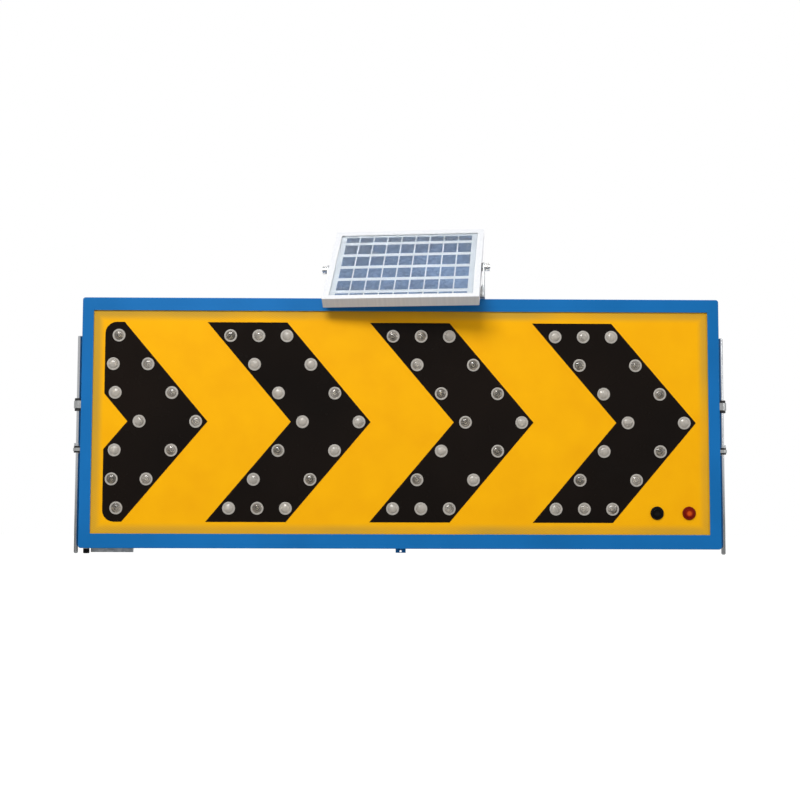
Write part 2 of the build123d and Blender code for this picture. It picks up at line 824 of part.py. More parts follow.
# button_bodies: two housings with a rim in front of the face and a closed end behind
with BuildPart() as button_bodies:
    with BuildSketch(front(lip_t)):
        with Locations(*[(x, button_z) for x in button_x]):
            Circle(button_rim_r)
    extrude(amount=button_rim_t)
    chamfer(button_bodies.edges().group_by(Axis.Y)[0], 0.8)
    with BuildSketch(front(button_back)):
        with Locations(*[(x, button_z) for x in button_x]):
            Circle(button_barrel_r)
    extrude(amount=button_back - lip_t)
    with BuildSketch(front(button_back - button_floor_t)):
        with Locations(*[(x, button_z) for x in button_x]):
            Circle(button_cap_r + 2 * shaft_gap)
    extrude(amount=button_body_l - button_floor_t, mode=Mode.SUBTRACT)
button_bodies.part.label = "button_bodies"
export_step(button_bodies.part, "parts/button_bodies.step")

# button_nuts: hexagon nuts behind the face
with BuildPart() as button_nuts:
    with BuildSketch(front(face_back + button_nut_t)):
        with Locations(*[(x, button_z) for x in button_x]):
            RegularPolygon(hexagon_r(button_nut_af), 6)
            Circle(button_barrel_r + shaft_gap, mode=Mode.SUBTRACT)
    extrude(amount=button_nut_t)
button_nuts.part.label = "button_nuts"
export_step(button_nuts.part, "parts/button_nuts.step")

# black_button_cap and red_button_cap, each with its return spring
for x, colour in zip(button_x, ("black", "red")):
    with BuildPart() as button_cap:
        with BuildSketch(front(cap_back)):
            with Locations((x, button_z)):
                Circle(button_cap_r)
        extrude(amount=button_cap_l)
        fillet(button_cap.edges().group_by(Axis.Y)[0], 1.0)
    button_cap.part.label = f"{colour}_button_cap"
    export_step(button_cap.part, f"parts/{colour}_button_cap.step")

    with BuildPart() as button_spring:
        run = spring_l - 2 * spring_wire_r - 2 * side_gap
        seat = cap_back + spring_wire_r + side_gap
        with BuildLine():
            coil = Helix(
                run / spring_turns, run, spring_r,
                center=(x, front_y + seat + run, button_z), direction=(0, -1, 0),
            )
        with BuildSketch(coil ^ 0):
            Circle(spring_wire_r)
        sweep(path=coil, is_frenet=True)
    button_spring.part.label = f"{colour}_button_spring"
    export_step(button_spring.part, f"parts/{colour}_button_spring.step")

# ================================================================ under the box
# charge_inlet: round charging socket through the lower wall, with its nut inside
with BuildPart() as charge_inlet:
    with BuildSketch(level(bottom_z - inlet_below, inlet_x, inlet_depth)):
        Circle(inlet_r)
    extrude(amount=inlet_below + inlet_above)
    with BuildSketch(level(bottom_z - inlet_flange_t, inlet_x, inlet_depth)):
        Circle(inlet_flange_r)
    extrude(amount=inlet_flange_t)
    with BuildSketch(level(bottom_z - inlet_below, inlet_x, inlet_depth)):
        Circle(inlet_hole_r)
    extrude(amount=inlet_below, mode=Mode.SUBTRACT)
    with BuildSketch(level(bottom_z + wall_t, inlet_x, inlet_depth)):
        RegularPolygon(hexagon_r(inlet_nut_af), 6)
        Circle(inlet_r + shaft_gap, mode=Mode.SUBTRACT)
    extrude(amount=inlet_nut_t)
charge_inlet.part.label = "charge_inlet"
export_step(charge_inlet.part, "parts/charge_inlet.step")

# charge_inlet_cap: black rubber cap pushed over the socket
with BuildPart() as charge_inlet_cap:
    low = bottom_z - inlet_below - side_gap - cap_end_t
    high = bottom_z - inlet_flange_t - side_gap
    with BuildSketch(level(low, inlet_x, inlet_depth)):
        Circle(inlet_r + 2 * shaft_gap + cap_wall)
    extrude(amount=high - low)
    fillet(charge_inlet_cap.edges().group_by(Axis.Z)[0], 0.6)
    with BuildSketch(level(low + cap_end_t, inlet_x, inlet_depth)):
        Circle(inlet_r + 2 * shaft_gap)
    extrude(amount=high - low - cap_end_t, mode=Mode.SUBTRACT)
charge_inlet_cap.part.label = "charge_inlet_cap"
export_step(charge_inlet_cap.part, "parts/charge_inlet_cap.step")

# inlet_guard: pale galvanised angle that shields the socket from the road
guard_x = -board_w / 2 + guard_from_side + guard_w / 2
with BuildPart() as inlet_guard:
    with BuildSketch(side_plane(guard_x)):
        with BuildLine():
            Polyline(
                (guard_depth, bottom_z), (guard_depth + guard_foot, bottom_z),
                (guard_depth + guard_foot, bottom_z - guard_t),
                (guard_depth + guard_t, bottom_z - guard_t),
                (guard_depth + guard_t, bottom_z - guard_drop),
                (guard_depth, bottom_z - guard_drop), close=True,
            )
        make_face()
    extrude(amount=guard_w / 2, both=True)
inlet_guard.part.label = "inlet_guard"
export_step(inlet_guard.part, "parts/inlet_guard.step")

# tie_down_tab: small painted angle under the middle, with a hole for a lashing
with BuildPart() as tie_down_tab:
    with BuildSketch(side_plane(0)):
        with BuildLine():
            Polyline(
                (tab_depth, bottom_z), (tab_depth + tab_foot, bottom_z),
                (tab_depth + tab_foot, bottom_z - tab_t), (tab_depth + tab_t, bottom_z - tab_t),
                (tab_depth + tab_t, bottom_z - tab_drop), (tab_depth, bottom_z - tab_drop),
                close=True,
            )
        make_face()
    extrude(amount=tab_w / 2, both=True)
    with BuildSketch(front(tab_depth + tab_t)):
        with Locations((0, bottom_z - (tab_drop + tab_t) / 2)):
            Circle(tab_hole_r)
    extrude(amount=tab_t, mode=Mode.SUBTRACT)
tie_down_tab.part.label = "tie_down_tab"
export_step(tie_down_tab.part, "parts/tie_down_tab.step")

# ================================================================ the ends
# drop_rod_left and drop_rod_right: bright round rods with a rounded foot, each with a stop collar
collar_z = bottom_z + guide_low_up + guide_low_h / 2 + guide_low_head + 2 * shaft_gap
for side, name in ((-1, "left"), (1, "right")):
    with BuildPart() as drop_rod:
        with BuildSketch(level(bottom_z - rod_below, side * rod_x, rod_depth)):
            Circle(rod_r)
        extrude(amount=rod_l)
        fillet(drop_rod.edges().group_by(Axis.Z)[0], rod_tip_r)
        chamfer(drop_rod.edges().group_by(Axis.Z)[-1], 0.8)
        with BuildSketch(level(collar_z, side * rod_x, rod_depth)):
            Circle(collar_r)
        extrude(amount=collar_h)
    drop_rod.part.label = f"drop_rod_{name}"
    export_step(drop_rod.part, f"parts/drop_rod_{name}.step")

# rod_guides: plated saddles screwed to the box's ends, two to each rod
with BuildPart() as rod_guides:
    for side in (-1, 1):
        for height, body_h, _ in guides:
            with BuildSketch(level(height - guide_flange_h / 2, side * board_w / 2, rod_depth)):
                with Locations((side * guide_flange_t / 2, 0)):
                    Rectangle(guide_flange_t, guide_flange_w)
            extrude(amount=guide_flange_h)
            with BuildSketch(level(height - body_h / 2, side * board_w / 2, rod_depth)):
                with Locations((side * rod_out / 2, 0)):
                    Rectangle(rod_out, guide_body_w)
                with Locations((side * rod_out, 0)):
                    Circle(guide_body_w / 2)
            extrude(amount=body_h)
            with BuildSketch(level(height - guide_flange_h / 2, side * rod_x, rod_depth)):
                Circle(bush_r + shaft_gap)
            extrude(amount=guide_flange_h, mode=Mode.SUBTRACT)
        with BuildSketch(side_plane(side * board_w / 2)):
            for height, _, _ in guides:
                with Locations(*[(rod_depth + turn * guide_screw_y, height) for turn in (-1, 1)]):
                    Circle(screw_r + shaft_gap)
        extrude(amount=side * guide_flange_t, mode=Mode.SUBTRACT)
rod_guides.part.label = "rod_guides"
export_step(rod_guides.part, "parts/rod_guides.step")

# guide_bushes: black nylon bushes in the saddles, with a collar at each end
with BuildPart() as guide_bushes:
    for side in (-1, 1):
        for height, body_h, head_h in guides:
            with BuildSketch(level(height - body_h / 2, side * rod_x, rod_depth)):
                Circle(bush_r)
            extrude(amount=body_h)
            for low in (height - body_h / 2 - head_h, height + body_h / 2):
                with BuildSketch(level(low, side * rod_x, rod_depth)):
                    Circle(bush_head_r)
                extrude(amount=head_h)
            with BuildSketch(level(height - body_h / 2 - head_h, side * rod_x, rod_depth)):
                Circle(rod_r + rod_clear)
            extrude(amount=body_h + 2 * head_h, mode=Mode.SUBTRACT)
guide_bushes.part.label = "guide_bushes"
export_step(guide_bushes.part, "parts/guide_bushes.step")

# guide_screws: pan heads on the saddles' flanges, shanks through the box's end walls
with BuildPart() as guide_screws:
    for side in (-1, 1):
        places = [(rod_depth + turn * guide_screw_y, h) for h, _, _ in guides for turn in (-1, 1)]
        with BuildSketch(side_plane(side * (board_w / 2 + guide_flange_t))):
            with Locations(*places):
                Circle(screw_head_r)
        extrude(amount=side * screw_head_t)
        with BuildSketch(side_plane(side * (board_w / 2 + guide_flange_t))):
            with Locations(*places):
                Circle(screw_r)
        extrude(amount=-side * (guide_flange_t + wall_t + screw_r))
guide_screws.part.label = "guide_screws"
export_step(guide_screws.part, "parts/guide_screws.step")

# ================================================================ the solar panel's swivel
yoke_z = top_z + swivel_base_t


def yoke_level(height):
    """Horizontal plane at a height over the yoke's foot, turned with the panel."""
    return Plane(
        origin=(swivel_x, front_y + swivel_depth, yoke_z + height),
        x_dir=tuple(across), z_dir=(0, 0, 1),
    )


def panel_plane(height, along=0.0):
    """Plane parallel to the panel at a height over the pivots, seen from in front of the glass."""
    return Plane(origin=pivot + panel_normal * height + uphill * along, x_dir=across, z_dir=panel_normal)


def pivot_plane(out):
    """Plane across the pivots' axis, with the panel's uphill direction to the right."""
    return Plane(origin=pivot + across * out, x_dir=uphill, z_dir=across)


# swivel_base: pressed plate welded to the box's top
with BuildPart() as swivel_base:
    with BuildSketch(level(top_z, swivel_x, swivel_depth)):
        RectangleRounded(swivel_base_w, swivel_base_d, 5)
        Circle(swivel_bolt_r + shaft_gap, mode=Mode.SUBTRACT)
    extrude(amount=swivel_base_t)
    chamfer(swivel_base.faces().sort_by(Axis.Z)[-1].outer_wire().edges(), 1.0)
swivel_base.part.label = "swivel_base"
export_step(swivel_base.part, "parts/swivel_base.step")

# swivel_bolt: head inside the box, shank up through the yoke
with BuildPart() as swivel_bolt:
    with BuildSketch(level(top_z - wall_t - swivel_head_t, swivel_x, swivel_depth)):
        RegularPolygon(hexagon_r(nut_m10_af), 6)
    extrude(amount=swivel_head_t)
    with BuildSketch(level(top_z - wall_t, swivel_x, swivel_depth)):
        Circle(swivel_bolt_r)
    extrude(amount=wall_t + swivel_base_t + yoke_t + side_gap + swivel_nut_t + swivel_spare)
    chamfer(swivel_bolt.edges().group_by(Axis.Z)[-1], 0.8)
swivel_bolt.part.label = "swivel_bolt"
export_step(swivel_bolt.part, "parts/swivel_bolt.step")

# swivel_nut: self-locking nut that keeps the yoke where it is turned
with BuildPart() as swivel_nut:
    with BuildSketch(level(yoke_z + yoke_t + side_gap, swivel_x, swivel_depth)):
        RegularPolygon(hexagon_r(nut_m10_af), 6)
        Circle(swivel_bolt_r + shaft_gap, mode=Mode.SUBTRACT)
    extrude(amount=swivel_nut_t)
swivel_nut.part.label = "swivel_nut"
export_step(swivel_nut.part, "parts/swivel_nut.step")

# panel_yoke: foot strip, two tapered arms and a gusset in each front corner
arm_h = pivot_h - swivel_base_t
with BuildPart() as panel_yoke:
    with BuildSketch(yoke_level(0)):
        Rectangle(2 * arm_out, yoke_w)
        Circle(swivel_bolt_r + shaft_gap, mode=Mode.SUBTRACT)
    extrude(amount=yoke_t)
    for side in (-1, 1):
        inner = Plane(
            origin=Vector(swivel_x, front_y + swivel_depth, yoke_z) + across * (side * arm_in),
            x_dir=rearward, z_dir=across,
        )
        with BuildSketch(inner):
            with BuildLine():
                Polyline(
                    (-yoke_w / 2, 0), (yoke_w / 2, 0), (yoke_top_r, arm_h), (-yoke_top_r, arm_h),
                    close=True,
                )
            make_face()
            with Locations((0, arm_h)):
                Circle(yoke_top_r)
                Circle(stud_r + shaft_gap, mode=Mode.SUBTRACT)
        extrude(amount=side * yoke_t)
        front_edge = Plane(
            origin=Vector(swivel_x, front_y + swivel_depth, yoke_z) - rearward * (yoke_w / 2),
            x_dir=across, z_dir=-rearward,
        )
        with BuildSketch(front_edge):
            with BuildLine():
                Polyline(
                    (side * arm_in, yoke_t), (side * (arm_in - gusset_w), yoke_t),
                    (side * arm_in, yoke_t + gusset_h), close=True,
                )
            make_face()
        extrude(amount=-yoke_t)
panel_yoke.part.label = "panel_yoke"
export_step(panel_yoke.part, "parts/panel_yoke.step")

# ================================================================ the solar panel
face_n = pivot_below_face
foot_n = face_n - panel_t
laminate_t = glass_t + cell_t + backsheet_t
ledge_n = face_n - frame_wall - laminate_t - laminate_gap
pane_w = panel_w - 2 * frame_wall - 2 * laminate_gap
pane_l = panel_l - 2 * frame_wall - 2 * laminate_gap

# panel_rails: four aluminium extrusions with mitred corners, lip in front and foot behind
with BuildPart() as panel_rails:
    with BuildSketch(panel_plane(foot_n)):
        RectangleRounded(panel_w, panel_l, 1.0)
    extrude(amount=panel_t)
    for low, depth, inset in (
        (face_n - frame_wall, frame_wall, frame_lip_w),
        (ledge_n, face_n - frame_wall - ledge_n, frame_wall),
        (ledge_n - frame_wall, frame_wall, frame_ledge_w),
        (foot_n + frame_wall, ledge_n - 2 * frame_wall - foot_n, frame_wall),
        (foot_n, frame_wall, frame_foot_w),
    ):
        with BuildSketch(panel_plane(low)):
            Rectangle(panel_w - 2 * inset, panel_l - 2 * inset)
        extrude(amount=depth, mode=Mode.SUBTRACT)
    with BuildSketch(panel_plane(foot_n)):
        for side in (-1, 1):
            for end in (-1, 1):
                with Locations(Location((side * panel_w / 2, end * panel_l / 2), side * end * 45)):
                    Rectangle(4 * frame_foot_w, mitre_gap)
    extrude(amount=panel_t, mode=Mode.SUBTRACT)
    with BuildSketch(pivot_plane(-panel_w / 2)):
        Circle(stud_r + shaft_gap)
    extrude(amount=panel_w, mode=Mode.SUBTRACT)
panel_rails.part.label = "panel_rails"
export_step(panel_rails.part, "parts/panel_rails.step")

# panel_glass: toughened sheet under the rails' lip
with BuildPart() as panel_glass:
    with BuildSketch(panel_plane(face_n - frame_wall - glass_t)):
        Rectangle(pane_w, pane_l)
    extrude(amount=glass_t)
panel_glass.part.label = "panel_glass"
export_step(panel_glass.part, "parts/panel_glass.step")

# panel_cells: strips of silicon in rows, cut down in the top row and the bottom row
row_heights = [cell_end_row_h, *[cell_row_h] * 4, cell_half_row_h]
cell_pitch = (panel_w - 2 * cell_side_margin + cell_gap) / cell_columns
with BuildPart() as panel_cells:
    with BuildSketch(panel_plane(face_n - frame_wall - glass_t - cell_t)):
        low = -panel_l / 2 + cell_bottom_margin
        for height in row_heights:
            with Locations((0, low + height / 2)):
                with GridLocations(cell_pitch, 1, cell_columns, 1):
                    Rectangle(cell_pitch - cell_gap, height)
            low += height + cell_row_gap
    extrude(amount=cell_t)
panel_cells.part.label = "panel_cells"
export_step(panel_cells.part, "parts/panel_cells.step")

# panel_backsheet: white sheet behind the cells
with BuildPart() as panel_backsheet:
    with BuildSketch(panel_plane(face_n - frame_wall - laminate_t)):
        Rectangle(pane_w, pane_l)
    extrude(amount=backsheet_t)
panel_backsheet.part.label = "panel_backsheet"
export_step(panel_backsheet.part, "parts/panel_backsheet.step")

# junction_box: black moulded box bonded to the backsheet
jbox_n = face_n - frame_wall - laminate_t
with BuildPart() as junction_box:
    with BuildSketch(panel_plane(jbox_n - jbox_t, jbox_up)):
        RectangleRounded(jbox_w, jbox_l, 3)
    extrude(amount=jbox_t)
junction_box.part.label = "junction_box"
export_step(junction_box.part, "parts/junction_box.step")

# pivot_studs: bolts through the side rails, heads inside the rails
# pivot_washers: nylon spacers between the rails and the yoke's arms
with BuildPart() as pivot_studs:
    for side in (-1, 1):
        with BuildSketch(pivot_plane(side * (panel_w / 2 - frame_wall - stud_head_t))):
            Circle(stud_head_r)
        extrude(amount=side * stud_head_t)
        with BuildSketch(pivot_plane(side * (panel_w / 2 - frame_wall))):
            Circle(stud_r)
        extrude(amount=side * (arm_out + side_gap + knob_l + 1.5 - panel_w / 2 + frame_wall))
pivot_studs.part.label = "pivot_studs"
export_step(pivot_studs.part, "parts/pivot_studs.step")

with BuildPart() as pivot_washers:
    for side in (-1, 1):
        with BuildSketch(pivot_plane(side * panel_w / 2)):
            Circle(washer_r)
            Circle(stud_r + shaft_gap, mode=Mode.SUBTRACT)
        extrude(amount=side * washer_t)
pivot_washers.part.label = "pivot_washers"
export_step(pivot_washers.part, "parts/pivot_washers.step")

# pivot_knob_left and pivot_knob_right: lobed clamp knobs on the studs
for side, name in ((-1, "left"), (1, "right")):
    with BuildPart() as pivot_knob:
        with BuildSketch(pivot_plane(side * (arm_out + side_gap))):
            Circle(knob_r)
            with PolarLocations(knob_r + knob_lobe_r / 3, knob_lobes):
                Circle(knob_lobe_r, mode=Mode.SUBTRACT)
            Circle(stud_r + shaft_gap, mode=Mode.SUBTRACT)
        extrude(amount=side * knob_l)
    pivot_knob.part.label = f"pivot_knob_{name}"
    export_step(pivot_knob.part, f"parts/pivot_knob_{name}.step")
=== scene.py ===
"""Solar arrow board, in metres: a blue steel box with a lamp face, dressed piece by piece round its frame."""
import math
import random

import bpy
from mathutils import Matrix, Vector


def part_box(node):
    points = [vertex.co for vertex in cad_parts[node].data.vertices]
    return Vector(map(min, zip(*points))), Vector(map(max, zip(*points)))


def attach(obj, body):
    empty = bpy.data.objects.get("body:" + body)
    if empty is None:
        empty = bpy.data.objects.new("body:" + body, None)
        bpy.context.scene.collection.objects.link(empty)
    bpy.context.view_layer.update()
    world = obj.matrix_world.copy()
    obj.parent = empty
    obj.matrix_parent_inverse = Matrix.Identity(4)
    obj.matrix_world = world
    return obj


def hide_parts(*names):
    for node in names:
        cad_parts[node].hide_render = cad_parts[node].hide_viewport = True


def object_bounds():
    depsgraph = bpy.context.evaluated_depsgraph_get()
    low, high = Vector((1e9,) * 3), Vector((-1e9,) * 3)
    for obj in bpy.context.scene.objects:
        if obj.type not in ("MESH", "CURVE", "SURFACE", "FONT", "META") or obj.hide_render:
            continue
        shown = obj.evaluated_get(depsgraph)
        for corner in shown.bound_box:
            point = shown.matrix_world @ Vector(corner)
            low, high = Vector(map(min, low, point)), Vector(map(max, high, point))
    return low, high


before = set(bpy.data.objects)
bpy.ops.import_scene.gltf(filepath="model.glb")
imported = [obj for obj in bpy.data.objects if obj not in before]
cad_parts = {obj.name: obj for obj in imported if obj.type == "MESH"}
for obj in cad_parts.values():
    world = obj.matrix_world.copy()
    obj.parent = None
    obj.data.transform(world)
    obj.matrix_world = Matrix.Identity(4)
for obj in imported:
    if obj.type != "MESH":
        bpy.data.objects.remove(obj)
cad_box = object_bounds()
mm = 0.001

# ---------------------------------------------------------------- camera
# A long lens a little left of the middle and below it, looking slightly up at the lamps from 2.3 m.
stand_off, eye_right, eye_up = 2.300, -0.025, -0.113
turn_right, look_up, lean = math.radians(0.57), math.radians(3.88), math.radians(0.17)
lens_mm, film_mm = 55.24, 36.0
forward = Vector((
    math.sin(turn_right) * math.cos(look_up), math.cos(turn_right) * math.cos(look_up), math.sin(look_up),
))
camera = bpy.data.objects.new("camera", bpy.data.cameras.new("camera"))
bpy.context.collection.objects.link(camera)
camera.data.lens = lens_mm
camera.data.sensor_width = film_mm
camera.location = Vector((eye_right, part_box("box_shell")[0].y - stand_off, eye_up))
aim = forward.to_track_quat("-Z", "Y").to_matrix().to_4x4()
camera.matrix_world = Matrix.Translation(camera.location) @ aim @ Matrix.Rotation(lean, 4, "Z")
bpy.context.scene.camera = camera
bpy.context.scene.view_settings.view_transform = "Standard"

# ---------------------------------------------------------------- studio
# A wide pale floor under the hanging board and white all round. A broad soft lamp hangs high in
# front, a narrow one stands at the side, and one behind keeps the back out of the dark.
floor_drop, floor_size, floor_glow = 0.62, 30.0, 0.85
white = (1.0, 1.0, 1.0, 1.0)


def linear(hex_colour):
    """Linear red, green, blue and alpha of an sRGB colour such as 1f70b5."""
    parts = [int(hex_colour[i:i + 2], 16) / 255 for i in (0, 2, 4)]
    return tuple(c / 12.92 if c <= 0.04045 else ((c + 0.055) / 1.055) ** 2.4 for c in parts) + (1.0,)


def add(tree, kind, settings):
    """A shader node: each setting is a link from a socket, a value for an input, or a property."""
    made = tree.nodes.new("ShaderNode" + kind)
    for key, value in settings.items():
        if isinstance(value, bpy.types.NodeSocket):
            tree.links.new(value, made.inputs[key])
        elif isinstance(key, int) or key in made.inputs:
            made.inputs[key].default_value = value
        else:
            setattr(made, key, value)
    return made


def started(name):
    """A new material's node tree, its shader and its object coordinates."""
    finish = bpy.data.materials.new(name)
    finish.use_nodes = True
    tree = finish.node_tree
    shader = tree.nodes["Principled BSDF"]
    return finish, tree, shader, add(tree, "TexCoord", {}).outputs["Object"]


pale_floor, tree, shader, place = started("pale_painted_floor")
grain = add(tree, "TexNoise", {"Vector": place, "Scale": 3.0, "Detail": 3.0})
tone = add(tree, "Mix", {
    "data_type": "RGBA", 0: grain.outputs[0], 6: linear("8c8c8a"), 7: linear("959594"),
})
lit = add(tree, "LightPath", {}).outputs["Is Camera Ray"]
lift = add(tree, "Math", {"operation": "MULTIPLY", 0: lit, 1: floor_glow})
tree.links.new(tone.outputs[2], shader.inputs["Base Color"])
tree.links.new(lift.outputs[0], shader.inputs["Emission Strength"])
shader.inputs["Emission Color"].default_value = white
shader.inputs["Roughness"].default_value = 0.9
shader.inputs["Specular IOR Level"].default_value = 0.1
bpy.ops.mesh.primitive_plane_add(size=floor_size, location=(0, 0, cad_box[0].z - floor_drop))
floor = bpy.context.object
floor.name = "studio_floor"
floor.data.materials.append(pale_floor)

world = bpy.data.worlds.new("white_room")
bpy.context.scene.world = world
world.use_nodes = True
room = world.node_tree
seen = add(room, "LightPath", {}).outputs["Is Camera Ray"]
sky = add(room, "SeparateXYZ", {0: add(room, "TexCoord", {}).outputs["Generated"]})
upward = add(room, "MapRange", {0: sky.outputs["Z"], 1: -1.0, 2: 1.0})
walls = add(room, "ValToRGB", {"Fac": upward.outputs[0]})
rungs = walls.color_ramp.elements
for stop, level in ((0.0, 0.14), (0.50, 0.18), (0.62, 0.44), (1.0, 0.80)):
    rung = rungs.new(stop) if 0.0 < stop < 1.0 else rungs[int(stop)]
    rung.color = (level, level, level * 1.02, 1.0)
either = add(room, "Mix", {"data_type": "RGBA", 0: seen, 6: walls.outputs["Color"], 7: white})
room.links.new(either.outputs[2], room.nodes["Background"].inputs["Color"])
room.nodes["Background"].inputs["Strength"].default_value = 1.0

for name, spot, width, height, power in (
    ("high_front_lamp", (-0.7, -2.35, 1.85), 1.5, 0.9, 66.0),
    ("side_lamp", (2.4, -1.6, 0.9), 0.5, 1.6, 11.0),
    ("rear_lamp", (1.2, 2.6, 1.8), 2.4, 1.6, 44.0),
):
    lamp = bpy.data.objects.new(name, bpy.data.lights.new(name, "AREA"))
    lamp.data.shape = "RECTANGLE"
    lamp.data.size, lamp.data.size_y, lamp.data.energy = width, height, power
    towards_board = (-Vector(spot)).to_track_quat("-Z", "Y").to_matrix().to_4x4()
    lamp.matrix_world = Matrix.Translation(spot) @ towards_board
    bpy.context.collection.objects.link(lamp)

# ---------------------------------------------------------------- blue box
# Folded 2 mm steel box with a hemmed lip round the face, powder coated. The coat has a faint
# orange peel, varies a little in tone, and is thinner and paler where the sheet is folded.
peel_size, cloud_size, fold_radius = 1.6 * mm, 160 * mm, 1.3 * mm


def wear(nodes, finish):
    """Gives CAD nodes a finish. Their shape and place stay as they are."""
    for name in nodes:
        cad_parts[name].data.materials.clear()
        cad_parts[name].data.materials.append(finish)


def edge_mask(tree, radius):
    """How near a point is to a sharp edge, from 0 on the flat to 1 on the edge."""
    rounded = add(tree, "Bevel", {"samples": 4, "Radius": radius})
    flat = add(tree, "NewGeometry", {})
    same = add(tree, "VectorMath", {
        "operation": "DOT_PRODUCT", 0: rounded.outputs[0], 1: flat.outputs["Normal"],
    })
    return add(tree, "MapRange", {0: same.outputs["Value"], 1: 0.98, 2: 0.75, 3: 0.0, 4: 1.0}).outputs[0]


powder_blue, tree, shader, place = started("powder_coated_steel_blue")
cloud = add(tree, "TexNoise", {"Vector": place, "Scale": 1 / cloud_size, "Detail": 2.0})
deep = add(tree, "Mix", {
    "data_type": "RGBA", 0: cloud.outputs[0], 6: linear("065b96"), 7: linear("0d71ba"),
})
fold = add(tree, "Mix", {
    "data_type": "RGBA", 0: edge_mask(tree, fold_radius), 6: deep.outputs[2], 7: linear("3a86bf"),
})
peel = add(tree, "TexNoise", {"Vector": place, "Scale": 1 / peel_size, "Detail": 1.0})
sheen = add(tree, "MapRange", {0: cloud.outputs[0], 1: 0.3, 2: 0.7, 3: 0.36, 4: 0.48})
bump = add(tree, "Bump", {"Strength": 0.25, "Distance": 0.05 * mm, "Height": peel.outputs[0]})
tree.links.new(fold.outputs[2], shader.inputs["Base Color"])
tree.links.new(sheen.outputs[0], shader.inputs["Roughness"])
tree.links.new(bump.outputs[0], shader.inputs["Normal"])
shader.inputs["Specular IOR Level"].default_value = 0.16
wear(["box_shell"], powder_blue)

# ---------------------------------------------------------------- yellow face
# Aluminium sheet covered in front with yellow prismatic reflective sheeting, bare behind. Its
# cells make a fine diamond net, and a darker tan band of painted shade, patchy in strength, runs
# along the inside of the blue lip, where the raised lip shades the sheeting.
cell_pitch, lip_shade_w, ripple_size, stain_size, sheeting_t = 3.6 * mm, 22 * mm, 60 * mm, 240 * mm, 0.4 * mm
bands_per_scale = 3.2
border_side, border_top, border_bottom = 21 * mm, 24 * mm, 27 * mm
box_low, box_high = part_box("box_shell")
opening_half = (box_high.x - box_low.x) / 2 - border_side
opening_mid = (border_bottom - border_top) / 2
opening_tall = (box_high.z - box_low.z - border_top - border_bottom) / 2

sheeting, tree, shader, place = started("yellow_prismatic_sheeting")
axes = add(tree, "SeparateXYZ", {0: place})
from_middle = add(tree, "Math", {"operation": "ABSOLUTE", 0: axes.outputs["X"]})
shifted = add(tree, "Math", {"operation": "SUBTRACT", 0: axes.outputs["Z"], 1: opening_mid})
from_centre = add(tree, "Math", {"operation": "ABSOLUTE", 0: shifted.outputs[0]})
# Painted shade: a band along the inside of the blue lip, where the yellow turns darker tan.
side_lip_shade = add(tree, "MapRange", {
    "interpolation_type": "SMOOTHSTEP",
    0: from_middle.outputs[0], 1: opening_half - lip_shade_w, 2: opening_half - lip_shade_w / 3, 3: 0.0, 4: 1.0,
})
end_lip_shade = add(tree, "MapRange", {
    "interpolation_type": "SMOOTHSTEP",
    0: from_centre.outputs[0], 1: opening_tall - lip_shade_w, 2: opening_tall - lip_shade_w / 3, 3: 0.0, 4: 1.0,
})
lip_shade_band = add(tree, "Math", {"operation": "MAXIMUM", 0: side_lip_shade.outputs[0], 1: end_lip_shade.outputs[0]})
patch = add(tree, "TexNoise", {"Vector": place, "Scale": 1 / ripple_size, "Detail": 2.0})
warm = add(tree, "Mix", {
    "data_type": "RGBA", 0: patch.outputs[0], 6: linear("e69e00"), 7: linear("f4b100"),
})
patchy_noise = add(tree, "TexNoise", {"Vector": place, "Scale": 1 / stain_size, "Detail": 1.0})
lip_shade_strength = add(tree, "MapRange", {0: patchy_noise.outputs[0], 1: 0.35, 2: 0.6, 3: 0.35, 4: 0.95})
# Painted shade: the yellow is mixed towards darker tan in the lip band, by a patchy amount.
lip_shade_amount = add(tree, "Math", {"operation": "MULTIPLY", 0: lip_shade_band.outputs[0], 1: lip_shade_strength.outputs[0]})
paler = add(tree, "Mix", {
    "data_type": "RGBA", 0: lip_shade_amount.outputs[0], 6: warm.outputs[2], 7: linear("b98f30"),
})
nets = []
for tilt in (30, -30):
    turned_net = add(tree, "Mapping", {"Vector": place, "Rotation": (0.0, math.radians(tilt), 0.0)})
    nets.append(add(tree, "TexWave", {
        "Vector": turned_net.outputs[0], "Scale": 1 / (cell_pitch * bands_per_scale), "bands_direction": "Z",
    }))
net = add(tree, "Math", {"operation": "MINIMUM", 0: nets[0].outputs["Fac"], 1: nets[1].outputs["Fac"]})
line = add(tree, "MapRange", {0: net.outputs[0], 1: 0.0, 2: 0.12, 3: 0.30, 4: 0.0})
netted = add(tree, "Mix", {
    "data_type": "RGBA", 0: line.outputs[0], 6: paler.outputs[2], 7: linear("f6bd24"),
})
bump = add(tree, "Bump", {"Strength": 0.12, "Distance": 0.05 * mm, "Height": net.outputs[0]})
film_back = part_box("face_panel")[0].y + sheeting_t
behind = add(tree, "Math", {"operation": "GREATER_THAN", 0: axes.outputs["Y"], 1: film_back})
backed = add(tree, "Mix", {
    "data_type": "RGBA", 0: behind.outputs[0], 6: netted.outputs[2], 7: linear("b3b6b9"),
})
tree.links.new(backed.outputs[2], shader.inputs["Base Color"])
tree.links.new(behind.outputs[0], shader.inputs["Metallic"])
tree.links.new(bump.outputs[0], shader.inputs["Normal"])
shader.inputs["Roughness"].default_value = 0.42
shader.inputs["Specular IOR Level"].default_value = 0.07
wear(["face_panel"], sheeting)

